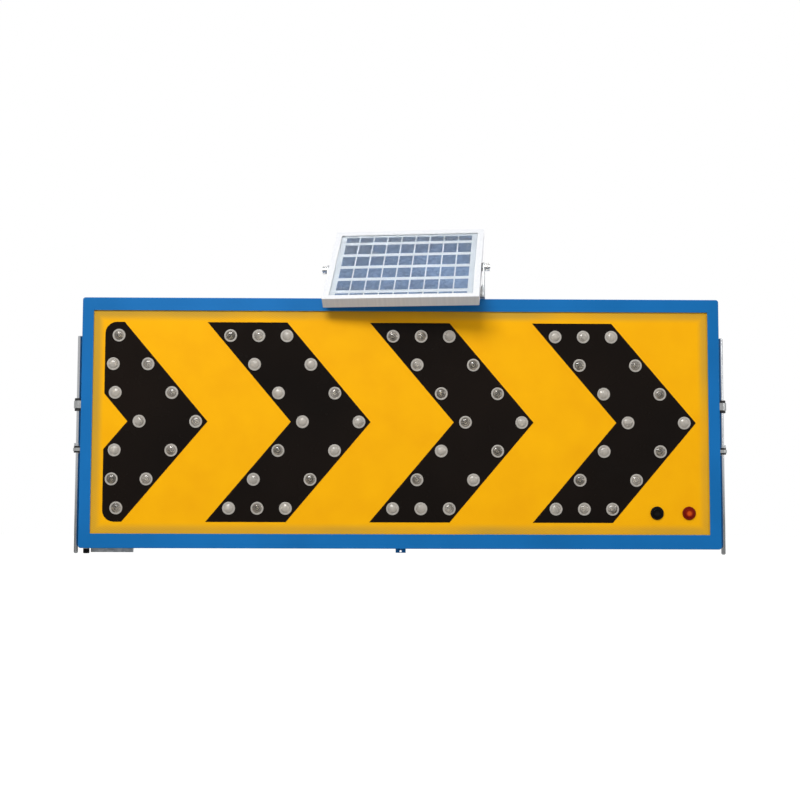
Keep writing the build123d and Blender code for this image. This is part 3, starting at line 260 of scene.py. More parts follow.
# ---------------------------------------------------------------- chevrons
# Four black vinyl films stuck on the sheeting. Glossy, with a slight ripple from hand laying and
# a brown cast where the dye has faded unevenly.
fade_size, lay_size = 210 * mm, 34 * mm
black_film, tree, shader, place = started("black_gloss_vinyl_film")
fade = add(tree, "TexNoise", {"Vector": place, "Scale": 1 / fade_size, "Detail": 2.0})
dye = add(tree, "Mix", {
    "data_type": "RGBA", 0: fade.outputs[0], 6: linear("080706"), 7: linear("1b130e"),
})
ripple = add(tree, "TexNoise", {"Vector": place, "Scale": 1 / lay_size, "Detail": 3.0})
gloss = add(tree, "MapRange", {0: ripple.outputs[0], 1: 0.3, 2: 0.7, 3: 0.16, 4: 0.30})
bump = add(tree, "Bump", {"Strength": 0.15, "Distance": 0.4 * mm, "Height": ripple.outputs[0]})
tree.links.new(dye.outputs[2], shader.inputs["Base Color"])
tree.links.new(gloss.outputs[0], shader.inputs["Roughness"])
tree.links.new(bump.outputs[0], shader.inputs["Normal"])
shader.inputs["Specular IOR Level"].default_value = 0.07
wear([f"chevron_film_{k}" for k in range(1, 5)], black_film)

# ---------------------------------------------------------------- lamp cups
# Moulded pale cups pressed through the face: a rounded rim in front, a bright reflecting bowl
# inside and a straight barrel behind. Modelled once and copied to every lamp.
cup_low, cup_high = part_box("lamp_cups")
lens_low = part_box("lamp_lenses")[0]
rim_r, barrel_r, seat_r, eye_r = 11.95 * mm, 9.95 * mm, 8.95 * mm, 3.4 * mm
rim_t, seat_t, cup_l = 1.2 * mm, 2.1 * mm, cup_high.y - cup_low.y
lip_r, ledge_w, eye_deep, speck_size = 0.5 * mm, 0.9 * mm, 11.4 * mm, 9 * mm
bowl = ((7.4 * mm, -4.4 * mm), (6.4 * mm, -7.2 * mm), (5.1 * mm, -9.6 * mm))
lens_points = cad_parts["lamp_lenses"].data.vertices
lamp_centres = sorted({
    (round(v.co.x, 4), round(v.co.z, 4)) for v in lens_points if v.co.y < lens_low.y + 0.01 * mm
})


def picked(piece):
    """Selects one piece and nothing else, for the operators that follow."""
    bpy.ops.object.select_all(action="DESELECT")
    piece.select_set(True)
    bpy.context.view_layer.objects.active = piece


def turned(name, profile, steps=32):
    """A piece turned about its own Z axis from points of (radius, height)."""
    outline = bpy.data.meshes.new(name)
    points = [(radius, 0, height) for radius, height in profile]
    outline.from_pydata(points, [(i, i + 1) for i in range(len(points) - 1)], [])
    piece = bpy.data.objects.new(name, outline)
    bpy.context.collection.objects.link(piece)
    picked(piece)
    bpy.ops.object.mode_set(mode="EDIT")
    bpy.ops.mesh.select_all(action="SELECT")
    bpy.ops.mesh.spin(steps=steps, angle=math.tau, center=(0, 0, 0), axis=(0, 0, 1))
    bpy.ops.mesh.select_all(action="SELECT")
    bpy.ops.mesh.remove_doubles(threshold=1e-6)
    bpy.ops.mesh.normals_make_consistent(inside=False)
    bpy.ops.object.mode_set(mode="OBJECT")
    return piece


def arc(centre, radius, first, last, steps):
    """Points of a round stretch of a profile, from one angle in degrees to another."""
    angles = [math.radians(first + (last - first) * i / steps) for i in range(steps + 1)]
    return [(centre[0] + radius * math.cos(a), centre[1] + radius * math.sin(a)) for a in angles]


def smoothed(piece, angle=35):
    """Smooth shading, kept sharp where faces meet at more than an angle."""
    picked(piece)
    bpy.ops.object.shade_smooth_by_angle(angle=math.radians(angle))
    return piece


def repeated(piece, places):
    """One object of copies of a piece, each turned and moved by a matrix of its own."""
    made = []
    for where in places:
        one = bpy.data.objects.new(piece.name, piece.data.copy())
        one.data.transform(where)
        bpy.context.collection.objects.link(one)
        made.append(one)
    name = piece.name
    bpy.data.objects.remove(piece)
    bpy.ops.object.select_all(action="DESELECT")
    for one in made:
        one.select_set(True)
    bpy.context.view_layer.objects.active = made[0]
    bpy.ops.object.join()
    made[0].name = name
    return made[0]


forward_facing = Matrix.Rotation(math.radians(90), 4, "X")
lamp_turns = random.Random(7)
lamp_places = [
    Matrix.Translation((x, cup_low.y, z)) @ forward_facing
    @ Matrix.Rotation(lamp_turns.uniform(0, math.tau), 4, "Z")
    for x, z in lamp_centres
]
lamp_cups = turned("lamp_cup_mouldings", [
    (barrel_r, -rim_t), (rim_r, -rim_t),
    *arc((rim_r - lip_r, -lip_r), lip_r, 0, 90, 3),
    *arc((seat_r + lip_r, -lip_r), lip_r, 90, 180, 3),
    (seat_r, -seat_t), (seat_r - ledge_w, -seat_t), *bowl, (eye_r, -eye_deep),
    (eye_r, -cup_l), (barrel_r, -cup_l), (barrel_r, -rim_t),
], steps=28)
lamp_cups = smoothed(repeated(lamp_cups, lamp_places))

cup_plastic, tree, shader, place = started("moulded_white_polycarbonate")
speck = add(tree, "TexNoise", {"Vector": place, "Scale": 1 / speck_size, "Detail": 3.0})
tint = add(tree, "Mix", {
    "data_type": "RGBA", 0: speck.outputs[0], 6: linear("9d978f"), 7: linear("b4afa7"),
})
tree.links.new(tint.outputs[2], shader.inputs["Base Color"])
shader.inputs["Roughness"].default_value = 0.28
lamp_cups.data.materials.append(cup_plastic)
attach(lamp_cups, "board")
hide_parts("lamp_cups")

# ---------------------------------------------------------------- lamp clips
# Each emitter is held in its cup by a dark sprung clip: an open ring with a bent tail. They were
# dropped in at any angle, so no two lamps look alike through their lenses.
clip_r, clip_wire, clip_deep, oxide_size = 3.6 * mm, 0.9 * mm, 3.4 * mm, 3 * mm
ring_start, ring_end, ring_step = 20, 290, 19
tail = [(0.8 * mm, -2.0 * mm, -clip_deep), (-0.8 * mm, 0.6 * mm, -clip_deep - 0.3 * mm)]
centre_line = [
    (clip_r * math.cos(math.radians(a)), clip_r * math.sin(math.radians(a)), -clip_deep)
    for a in range(ring_start, ring_end + 1, ring_step)
] + tail
wire = bpy.data.curves.new("lamp_clips", "CURVE")
wire.dimensions = "3D"
wire.bevel_depth, wire.bevel_resolution, wire.use_fill_caps = clip_wire, 1, True
run = wire.splines.new("POLY")
run.points.add(len(centre_line) - 1)
for point, spot in zip(run.points, centre_line):
    point.co = (*spot, 1.0)
lamp_clips = bpy.data.objects.new("lamp_clips", wire)
bpy.context.collection.objects.link(lamp_clips)
picked(lamp_clips)
bpy.ops.object.convert(target="MESH")
lamp_clips = bpy.context.object
lamp_clips = smoothed(repeated(lamp_clips, lamp_places), 60)

clip_steel, tree, shader, place = started("blued_spring_steel")
patchy_noise = add(tree, "TexNoise", {"Vector": place, "Scale": 1 / oxide_size, "Detail": 2.0})
hue = add(tree, "Mix", {
    "data_type": "RGBA", 0: patchy_noise.outputs[0], 6: linear("0d0b09"), 7: linear("2e281f"),
})
tree.links.new(hue.outputs[2], shader.inputs["Base Color"])
shader.inputs["Metallic"].default_value = 0.3
shader.inputs["Roughness"].default_value = 0.5
lamp_clips.data.materials.append(clip_steel)
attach(lamp_clips, "board")

# ---------------------------------------------------------------- lamp lenses
# Clear polycarbonate domes snapped into the cups. The front is a smooth dome; the back has a
# stepped ring that spreads the light. A pale diffuse share in each lens, larger in some than
# others, is painted light that stands in for the light reaching the cups behind.
lens_r, dome_h = 8.85 * mm, cup_low.y - lens_low.y
lens_back, step_outer, step_inner = -seat_t + 0.1 * mm, -seat_t + 0.2 * mm, -seat_t + 0.9 * mm
dome_r = (lens_r**2 + dome_h**2) / (2 * dome_h)
dome_reach = math.degrees(math.asin(lens_r / dome_r))
lamp_lenses = turned("lamp_lens_domes", [
    (0, dome_h),
    *arc((0, dome_h - dome_r), dome_r, 90, 90 - dome_reach, 6)[1:],
    (lens_r, lens_back), (7.6 * mm, lens_back), (6.4 * mm, step_inner),
    (6.2 * mm, step_outer), (3.8 * mm, step_inner), (3.6 * mm, step_outer),
    (0, -seat_t + 0.6 * mm),
], steps=28)
lamp_lenses = smoothed(repeated(lamp_lenses, lamp_places))

haze_size, pale_fill_size = 5 * mm, 70 * mm
lens_plastic, tree, shader, place = started("clear_polycarbonate")
haze = add(tree, "TexNoise", {"Vector": place, "Scale": 1 / haze_size, "Detail": 3.0})
scuff = add(tree, "MapRange", {0: haze.outputs[0], 1: 0.35, 2: 0.7, 3: 0.04, 4: 0.16})
tree.links.new(scuff.outputs[0], shader.inputs["Roughness"])
# Painted light: less transmission lets the pale base colour show, in place of light reaching into the cups.
pale_fill_noise = add(tree, "TexNoise", {"Vector": place, "Scale": 1 / pale_fill_size, "Detail": 0.0})
clear = add(tree, "MapRange", {0: pale_fill_noise.outputs[0], 1: 0.40, 2: 0.60, 3: 0.62, 4: 0.94})
tree.links.new(clear.outputs[0], shader.inputs["Transmission Weight"])
shader.inputs["Base Color"].default_value = linear("ece5da")
shader.inputs["IOR"].default_value = 1.45
lamp_lenses.data.materials.append(lens_plastic)
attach(lamp_lenses, "board")
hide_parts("lamp_lenses")

# ---------------------------------------------------------------- circuit boards
# Glass-fibre boards with green solder mask and tinned pads; in front of each stands a pale
# emitter. The controller in the service bay is the same stuff, with black parts on it.
pad_pitch, track_size, board_t, parts_from = 9 * mm, 6 * mm, 1.65 * mm, 8.0 * mm
solder_mask, tree, shader, place = started("glass_fibre_board_green_mask")
pads = add(tree, "TexVoronoi", {"Vector": place, "Scale": 1 / pad_pitch})
pad = add(tree, "MapRange", {0: pads.outputs["Distance"], 1: 0.16, 2: 0.2, 3: 1.0, 4: 0.0})
board_tone = add(tree, "Mix", {
    "data_type": "RGBA", 0: pad.outputs[0], 6: linear("12502a"), 7: linear("b9bcb8"),
})
depth = add(tree, "SeparateXYZ", {0: place})
package_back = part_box("lamp_board_1")[1].y - board_t
ahead = add(tree, "Math", {"operation": "LESS_THAN", 0: depth.outputs["Y"], 1: package_back})
packaged = add(tree, "Mix", {
    "data_type": "RGBA", 0: ahead.outputs[0], 6: board_tone.outputs[2], 7: linear("e6e1c8"),
})
tree.links.new(packaged.outputs[2], shader.inputs["Base Color"])
shader.inputs["Roughness"].default_value = 0.35
wear([f"lamp_board_{k}" for k in range(1, 5)], solder_mask)

control_mask, tree, shader, place = started("controller_board_with_parts")
tracks = add(tree, "TexNoise", {"Vector": place, "Scale": 1 / track_size, "Detail": 1.0})
track = add(tree, "MapRange", {0: tracks.outputs[0], 1: 0.5, 2: 0.52, 3: 0.0, 4: 1.0})
track_tone = add(tree, "Mix", {
    "data_type": "RGBA", 0: track.outputs[0], 6: linear("0f4a27"), 7: linear("1b6a3a"),
})
depth = add(tree, "SeparateXYZ", {0: place})
part_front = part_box("controller_board")[0].y + parts_from
raised = add(tree, "Math", {"operation": "GREATER_THAN", 0: depth.outputs["Y"], 1: part_front})
dark_parts = add(tree, "Mix", {
    "data_type": "RGBA", 0: raised.outputs[0], 6: track_tone.outputs[2], 7: linear("1a1a1c"),
})
tree.links.new(dark_parts.outputs[2], shader.inputs["Base Color"])
shader.inputs["Roughness"].default_value = 0.4
wear(["controller_board"], control_mask)

# ---------------------------------------------------------------- plain steel finishes
# Galvanised sheet shows crystals of zinc a few millimetres across. Zinc-plated fittings are
# brighter and cloudy, and the ground bar is brighter still, with fine lines along it that are
# drawn coarser than real ones, so that they show.
spangle_size, streak_size, brush_size = 7 * mm, 4 * mm, 0.5 * mm
galvanised, tree, shader, place = started("galvanised_sheet_steel")
spangle = add(tree, "TexVoronoi", {"Vector": place, "Scale": 1 / spangle_size})
crystal = add(tree, "SeparateColor", {0: spangle.outputs["Color"]})
grey = add(tree, "Mix", {
    "data_type": "RGBA", 0: crystal.outputs[0], 6: linear("a9adaf"), 7: linear("cfd2d3"),
})
dulled = add(tree, "MapRange", {0: crystal.outputs[1], 1: 0.0, 2: 1.0, 3: 0.34, 4: 0.52})
tree.links.new(grey.outputs[2], shader.inputs["Base Color"])
tree.links.new(dulled.outputs[0], shader.inputs["Roughness"])
shader.inputs["Metallic"].default_value = 0.85

zinc_plate, tree, shader, place = started("bright_zinc_plated_steel")
streak = add(tree, "TexNoise", {"Vector": place, "Scale": 1 / streak_size, "Detail": 4.0})
silver = add(tree, "Mix", {
    "data_type": "RGBA", 0: streak.outputs[0], 6: linear("a4a7a8"), 7: linear("d6d7d4"),
})
fine = add(tree, "MapRange", {0: streak.outputs[0], 1: 0.3, 2: 0.7, 3: 0.24, 4: 0.4})
tree.links.new(silver.outputs[2], shader.inputs["Base Color"])
tree.links.new(fine.outputs[0], shader.inputs["Roughness"])
shader.inputs["Metallic"].default_value = 1.0

ground_bar, tree, shader, place = started("ground_stainless_bar")
stretched = add(tree, "Mapping", {"Vector": place, "Scale": (1.0, 1.0, 0.02)})
scratch = add(tree, "TexNoise", {"Vector": stretched.outputs[0], "Scale": 1 / brush_size, "Detail": 2.0})
steel = add(tree, "Mix", {
    "data_type": "RGBA", 0: scratch.outputs[0], 6: linear("b4b7ba"), 7: linear("e2e4e5"),
})
polish = add(tree, "MapRange", {0: scratch.outputs[0], 1: 0.3, 2: 0.7, 3: 0.14, 4: 0.26})
tree.links.new(steel.outputs[2], shader.inputs["Base Color"])
tree.links.new(polish.outputs[0], shader.inputs["Roughness"])
shader.inputs["Metallic"].default_value = 1.0
wear(["service_tray"], galvanised)
wear(["hinge_pin", "pivot_studs"], ground_bar)
wear(["battery_strap", "latch_cam", "rail_nuts", "swivel_bolt"], zinc_plate)

# ---------------------------------------------------------------- black mouldings and rubber
# Nylon glands, bushes and washers have a moulded grain, drawn coarser than the real one so that it
# shows. Rubber seals are duller and carry a little pale dust, and white nylon posts look milky.
grain_size, dust_size = 0.6 * mm, 11 * mm
black_nylon, tree, shader, place = started("moulded_black_nylon")
texture = add(tree, "TexNoise", {"Vector": place, "Scale": 1 / grain_size, "Detail": 1.0})
shade = add(tree, "TexNoise", {"Vector": place, "Scale": 1 / dust_size, "Detail": 3.0})
nylon = add(tree, "Mix", {
    "data_type": "RGBA", 0: shade.outputs[0], 6: linear("101011"), 7: linear("242425"),
})
bump = add(tree, "Bump", {"Strength": 0.3, "Distance": 0.03 * mm, "Height": texture.outputs[0]})
tree.links.new(nylon.outputs[2], shader.inputs["Base Color"])
tree.links.new(bump.outputs[0], shader.inputs["Normal"])
shader.inputs["Roughness"].default_value = 0.48

black_rubber, tree, shader, place = started("black_moulded_rubber")
dust = add(tree, "TexNoise", {"Vector": place, "Scale": 1 / dust_size, "Detail": 5.0})
dusty = add(tree, "MapRange", {0: dust.outputs[0], 1: 0.5, 2: 0.8, 3: 0.0, 4: 0.35})
rubber = add(tree, "Mix", {
    "data_type": "RGBA", 0: dusty.outputs[0], 6: linear("0d0d0d"), 7: linear("4a4845"),
})
tree.links.new(rubber.outputs[2], shader.inputs["Base Color"])
shader.inputs["Roughness"].default_value = 0.82
shader.inputs["Specular IOR Level"].default_value = 0.3
wear(["cover_gasket", "door_gasket"], black_rubber)
wear(["button_nuts", "pivot_washers"], black_nylon)

white_nylon, tree, shader, place = started("moulded_white_nylon")
milky = add(tree, "TexNoise", {"Vector": place, "Scale": 1 / dust_size, "Detail": 2.0})
milk = add(tree, "Mix", {
    "data_type": "RGBA", 0: milky.outputs[0], 6: linear("d9d7cd"), 7: linear("efeee8"),
})
tree.links.new(milk.outputs[2], shader.inputs["Base Color"])
shader.inputs["Roughness"].default_value = 0.5
wear(["board_standoffs"], white_nylon)

# ---------------------------------------------------------------- rear cover, rails and guard
# Pressed and folded sheet with edges eased by the tool: the cover, the door and its hinge, the two
# hat-section rails that carry the board, the socket's guard and the lashing tab. The rails' bolts,
# the door's latch handle and the cable gland are fixed to them.


def eased(node, name, width, sharp=30):
    """A copy of a CAD node with its sharp edges rounded to a width, standing for that node."""
    piece = bpy.data.objects.new(name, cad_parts[node].data.copy())
    bpy.context.collection.objects.link(piece)
    picked(piece)
    bpy.ops.object.mode_set(mode="EDIT")
    bpy.ops.mesh.select_all(action="SELECT")
    bpy.ops.mesh.remove_doubles(threshold=1e-6)
    bpy.ops.mesh.dissolve_limited(angle_limit=math.radians(1))
    bpy.ops.object.mode_set(mode="OBJECT")
    rounding = piece.modifiers.new("rounding", "BEVEL")
    rounding.width, rounding.segments = width, 2
    rounding.limit_method, rounding.angle_limit = "ANGLE", math.radians(sharp)
    bpy.ops.object.modifier_apply(modifier="rounding")
    smoothed(piece, 40)
    evened = piece.modifiers.new("evened", "WEIGHTED_NORMAL")
    evened.keep_sharp = True
    bpy.ops.object.modifier_apply(modifier="evened")
    piece.data.materials.clear()
    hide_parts(node)
    return piece


for node, name, finish, slot, body, width in (
    ("back_cover", "rear_cover_sheet", powder_blue, "blue_paint", "board", 0.4 * mm),
    ("service_door", "service_door_leaf", powder_blue, "blue_paint", "door", 0.4 * mm),
    ("tie_down_tab", "lashing_tab", powder_blue, "blue_paint", "board", 0.4 * mm),
    ("mounting_rails", "hat_rails", galvanised, "galvanised", "board", 0.5 * mm),
    ("inlet_guard", "socket_guard", galvanised, "galvanised", "board", 0.3 * mm),
    ("rail_bolts", "rail_bolt_heads", zinc_plate, "zinc_steel", "board", 0.5 * mm),
    ("hinge_leaf_fixed", "hinge_leaf_on_cover", zinc_plate, "zinc_steel", "board", 0.15 * mm),
    ("hinge_leaf_moving", "hinge_leaf_on_door", zinc_plate, "zinc_steel", "door", 0.15 * mm),
    ("latch_knob", "latch_handle", black_nylon, "black_nylon", "latch", 0.6 * mm),
    ("solar_gland", "cable_gland", black_nylon, "black_nylon", "board", 0.4 * mm),
):
    piece = eased(node, name, width)
    piece.data.materials.append(finish)
    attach(piece, body)

# ---------------------------------------------------------------- cross-head screws
# Pan-head screws with a cross recess: round the rear cover, and on the rod guides at the ends.
# The recess is cut from one head, and the screw is copied to every hole.
head_r, head_t, shank_r, tip_cut = 3.75 * mm, 2.15 * mm, 1.95 * mm, 0.5 * mm
slot_l, slot_w, slot_deep = 3.6 * mm, 0.9 * mm, 1.1 * mm
head_room, guide_screw_l, head_gap = 2.2 * mm, 5.8 * mm, 12 * mm


def screw(name, length):
    """A pan-head screw standing on its own Z axis, its head's underside at zero."""
    crown = arc((0, -head_r * 1.2), head_r * 1.2 + head_t, 90, 62, 5)
    piece = turned(name, [
        (0, head_t), *crown[1:], (head_r, head_t * 0.35), (head_r, 0), (shank_r, 0),
        (shank_r, -length + tip_cut), (shank_r - tip_cut, -length), (0, -length),
    ], steps=24)
    for spin in (0, 90):
        bpy.ops.mesh.primitive_cube_add(size=1, location=(0, 0, head_t))
        cutter = bpy.context.object
        cutter.data.transform(Matrix.Diagonal((slot_l, slot_w, 2 * slot_deep, 1)))
        cutter.data.transform(Matrix.Rotation(math.radians(spin), 4, "Z"))
        cut = piece.modifiers.new("recess", "BOOLEAN")
        cut.operation, cut.object, cut.solver = "DIFFERENCE", cutter, "EXACT"
        picked(piece)
        bpy.ops.object.modifier_apply(modifier="recess")
        bpy.data.objects.remove(cutter)
    return piece


def screw_centres(node, far_axis, across_axis, up_axis):
    """Middles of a node's separate screws, found from the points that lie farthest out along an axis."""
    points = [v.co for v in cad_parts[node].data.vertices]
    reach = max(abs(p[far_axis]) for p in points)
    outer = [p for p in points if abs(abs(p[far_axis]) - reach) < 0.05 * mm]
    groups = []
    for p in outer:
        for group in groups:
            g = group[0]
            near = abs(p[across_axis] - g[across_axis]) + abs(p[up_axis] - g[up_axis]) < head_gap
            if near and p[far_axis] * g[far_axis] > 0:
                group.append(p)
                break
        else:
            groups.append([p])
    return [sum(group, Vector()) / len(group) for group in groups]


cover_low, cover_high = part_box("cover_screws")
guide_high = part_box("guide_screws")[1]
screw_rows = (
    ("cover_screw_set", "cover_screws", cover_high.y - cover_low.y - head_room, [
        Matrix.Translation((p.x, cover_high.y - head_room, p.z)) @ Matrix.Rotation(math.radians(-90), 4, "X")
        for p in screw_centres("cover_screws", 1, 0, 2)
    ]),
    ("guide_screw_set", "guide_screws", guide_screw_l, [
        Matrix.Translation((math.copysign(guide_high.x - head_room, p.x), p.y, p.z))
        @ Matrix.Rotation(math.copysign(math.radians(90), p.x), 4, "Y")
        for p in screw_centres("guide_screws", 0, 1, 2)
    ]),
)
for name, node, length, spots in screw_rows:
    piece = smoothed(repeated(screw(name, length), spots))
    piece.data.materials.append(zinc_plate)
    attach(piece, "board")
    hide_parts(node)

# ---------------------------------------------------------------- battery
# Sealed pack in a dark grey case of moulded ABS, held in the tray by a strap. The moulding has a
# satin surface with a faint uneven tone.
mottle_size = 2 * mm
case_plastic, tree, shader, place = started("moulded_dark_case")
case_noise = add(tree, "TexNoise", {"Vector": place, "Scale": 1 / mottle_size, "Detail": 2.0})
case_tone = add(tree, "Mix", {
    "data_type": "RGBA", 0: case_noise.outputs[0], 6: linear("23262c"), 7: linear("34383f"),
})
tree.links.new(case_tone.outputs[2], shader.inputs["Base Color"])
shader.inputs["Roughness"].default_value = 0.55
wear(["battery_pack"], case_plastic)

# ---------------------------------------------------------------- push buttons
# Two panel buttons of moulded plastic: a black one, and a red one in a dark red housing. Each cap
# is glossy and dished in the middle, with a painted highlight that lightens its colour round the
# middle, and rides in its satin housing on a spring of bright wire.
button_low, button_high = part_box("button_bodies")
button_split = (button_low.x + button_high.x) / 2
dish_r, cap_edge_r, highlight_inner, highlight_outer = 5.6 * mm, 1.0 * mm, 4.2 * mm, 7.2 * mm
smudge_size = 4 * mm
housing, tree, shader, place = started("moulded_button_housings")
across_x = add(tree, "SeparateXYZ", {0: place})
right_one = add(tree, "Math", {"operation": "GREATER_THAN", 0: across_x.outputs["X"], 1: button_split})
smudge = add(tree, "TexNoise", {"Vector": place, "Scale": 1 / smudge_size, "Detail": 2.0})
housing_tone = add(tree, "Mix", {
    "data_type": "RGBA", 0: right_one.outputs[0], 6: linear("0c0a09"), 7: linear("6e0f04"),
})
housing_sheen = add(tree, "MapRange", {0: smudge.outputs[0], 1: 0.3, 2: 0.7, 3: 0.3, 4: 0.45})
tree.links.new(housing_tone.outputs[2], shader.inputs["Base Color"])
tree.links.new(housing_sheen.outputs[0], shader.inputs["Roughness"])
shader.inputs["Specular IOR Level"].default_value = 0.12
piece = eased("button_bodies", "button_housings", 0.3 * mm)
piece.data.materials.append(housing)
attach(piece, "board")

for colour, dark, light, body, slot in (
    ("black", "060505", "141210", "black_button", "black_gloss"),
    ("red", "781402", "c64c12", "red_button", "red_plastic"),
):
    low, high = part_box(f"{colour}_button_cap")
    middle = (low + high) / 2
    cap_r, cap_l = (high.x - low.x) / 2, high.y - low.y
    cap = turned(f"{colour}_push_cap", [
        (0, -0.7 * mm), (dish_r * 0.5, -0.58 * mm), (dish_r * 0.85, -0.25 * mm), (dish_r, 0),
        *arc((cap_r - cap_edge_r, -cap_edge_r), cap_edge_r, 90, 0, 4),
        (cap_r, -cap_l), (0, -cap_l),
    ], steps=40)
    cap.data.transform(Matrix.Translation((middle.x, low.y, middle.z)) @ forward_facing)
    smoothed(cap)
    cap_paint_highlit, tree, shader, place = started(f"highlit_polished_{colour}_cap")
    centred = add(tree, "Mapping", {"Vector": place, "Location": (-middle.x, -middle.y, -middle.z)})
    radius = add(tree, "VectorMath", {"operation": "LENGTH", 0: centred.outputs[0]})
    # Painted highlight: the cap's colour turns lighter in a disc round its middle.
    painted_highlight = add(tree, "MapRange", {
        0: radius.outputs["Value"], 1: highlight_inner, 2: highlight_outer, 3: 1.0, 4: 0.0,
    })
    cap_tone_highlit = add(tree, "Mix", {
        "data_type": "RGBA", 0: painted_highlight.outputs[0], 6: linear(dark), 7: linear(light),
    })
    tree.links.new(cap_tone_highlit.outputs[2], shader.inputs["Base Color"])
    shader.inputs["Roughness"].default_value = 0.22
    shader.inputs["Specular IOR Level"].default_value = 0.1
    cap.data.materials.append(cap_paint_highlit)
    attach(cap, body)
    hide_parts(f"{colour}_button_cap")

spring_wire, tree, shader, place = started("drawn_spring_wire")
drawn = add(tree, "TexNoise", {"Vector": place, "Scale": 1 / mm, "Detail": 2.0})
drawn_tone = add(tree, "Mix", {
    "data_type": "RGBA", 0: drawn.outputs[0], 6: linear("9c9fa3"), 7: linear("c9cbce"),
})
tree.links.new(drawn_tone.outputs[2], shader.inputs["Base Color"])
shader.inputs["Metallic"].default_value = 1.0
shader.inputs["Roughness"].default_value = 0.25
wear(["black_button_spring", "red_button_spring"], spring_wire)

# ---------------------------------------------------------------- charging socket
# Turned socket under the left end, covered by a ribbed rubber cap that pushes on. Its nickel
# plate is warm and slightly misted from handling.
mist_size = 2 * mm
nickel, tree, shader, place = started("nickel_plate")
mist = add(tree, "TexNoise", {"Vector": place, "Scale": 1 / mist_size, "Detail": 2.0})
misted = add(tree, "MapRange", {0: mist.outputs[0], 1: 0.3, 2: 0.7, 3: 0.16, 4: 0.32})
tree.links.new(misted.outputs[0], shader.inputs["Roughness"])
shader.inputs["Base Color"].default_value = linear("c4bfb2")
shader.inputs["Metallic"].default_value = 1.0
wear(["charge_inlet"], nickel)

low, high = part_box("charge_inlet_cap")
middle, cap_h = (low + high) / 2, high.z - low.z
cap_outer, cap_inner, cap_end = (high.x - low.x) / 2, 4.92 * mm, 2.1 * mm
ribs, rib_h, rib_w = 4, 0.35 * mm, 1.2 * mm
ribbed = []
for k in range(ribs):
    foot = cap_end * 0.6 + k * (cap_h - cap_end) / ribs
    ribbed += [
        (cap_outer - rib_h, foot), (cap_outer, foot + rib_h),
        (cap_outer, foot + rib_w - rib_h), (cap_outer - rib_h, foot + rib_w),
    ]
rubber_cap = turned("socket_cap", [
    (0, 0), (cap_outer - 1.0 * mm, 0), (cap_outer - rib_h, 0.6 * mm), *ribbed,
    (cap_outer - rib_h, cap_h), (cap_inner, cap_h), (cap_inner, cap_end), (0, cap_end),
])
rubber_cap.data.transform(Matrix.Translation((middle.x, middle.y, low.z)))
smoothed(rubber_cap, 50)
rubber_cap.data.materials.append(black_rubber)
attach(rubber_cap, "inlet_cap")
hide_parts("charge_inlet_cap")

# ---------------------------------------------------------------- drop rods and guides
# Ground stainless bar with a rounded foot and a turned stop collar, sliding in black nylon bushes
# that zinc-plated saddles hold to the box's ends.
bar_r, collar_r, collar_h, tip_r, collar_groove = 4.0 * mm, 7.5 * mm, 6.0 * mm, 3.0 * mm, 0.5 * mm
collar_edge, groove_half, end_edge = 0.6 * mm, 0.3 * mm, 0.8 * mm
for side in ("left", "right"):
    low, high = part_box(f"drop_rod_{side}")
    middle, rod_l = (low + high) / 2, high.z - low.z
    collar_points = [
        v.co.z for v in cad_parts[f"drop_rod_{side}"].data.vertices
        if abs(v.co.x - middle.x) > bar_r + mm
    ]
    collar_at = min(collar_points) - low.z
    groove_at = collar_at + collar_h / 2
    rod = turned(f"slide_rod_{side}", [
        (0, 0), (bar_r - tip_r, 0), *arc((bar_r - tip_r, tip_r), tip_r, -90, 0, 6)[1:],
        (bar_r, collar_at), (collar_r - collar_edge, collar_at), (collar_r, collar_at + collar_edge),
        (collar_r, groove_at - collar_edge), (collar_r - collar_groove, groove_at - groove_half),
        (collar_r - collar_groove, groove_at + groove_half), (collar_r, groove_at + collar_edge),
        (collar_r, collar_at + collar_h - collar_edge),
        (collar_r - collar_edge, collar_at + collar_h), (bar_r, collar_at + collar_h),
        (bar_r, rod_l - end_edge), (bar_r - end_edge, rod_l), (0, rod_l),
    ], steps=40)
    rod.data.transform(Matrix.Translation((middle.x, middle.y, low.z)))
    smoothed(rod)
    rod.data.materials.append(ground_bar)
    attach(rod, f"rod_{side}")
    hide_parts(f"drop_rod_{side}")

for node, name, finish, slot, width in (
    ("rod_guides", "rod_saddles", zinc_plate, "zinc_steel", 0.5 * mm),
    ("guide_bushes", "rod_bushes", black_nylon, "black_nylon", 0.4 * mm),
):
    piece = eased(node, name, width)
    piece.data.materials.append(finish)
    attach(piece, "board")

# ---------------------------------------------------------------- swivel and yoke
# Zinc-plated base and self-locking nut on the box's top. The galvanised yoke turns on them, and
# its two tapered arms hold the solar panel between clamp knobs with a bright plated skin.
for node, name, finish, slot, body, width in (
    ("swivel_base", "swivel_plate", zinc_plate, "zinc_steel", "board", 0.3 * mm),
    ("swivel_nut", "swivel_lock_nut", zinc_plate, "zinc_steel", "board", 0.6 * mm),
    ("panel_yoke", "tilt_yoke", galvanised, "galvanised", "yoke", 0.4 * mm),
):
    piece = eased(node, name, width)
    piece.data.materials.append(finish)
    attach(piece, body)

fog_size = 3 * mm
plated_knob, tree, shader, place = started("bright_plated_moulding")
fog = add(tree, "TexNoise", {"Vector": place, "Scale": 1 / fog_size, "Detail": 3.0})
fogged = add(tree, "MapRange", {0: fog.outputs[0], 1: 0.3, 2: 0.7, 3: 0.12, 4: 0.3})
tree.links.new(fogged.outputs[0], shader.inputs["Roughness"])
shader.inputs["Base Color"].default_value = linear("dcdcda")
shader.inputs["Metallic"].default_value = 0.9
for side in ("left", "right"):
    piece = eased(f"pivot_knob_{side}", f"clamp_knob_{side}", 0.7 * mm)
    piece.data.materials.append(plated_knob)
    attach(piece, f"knob_{side}")

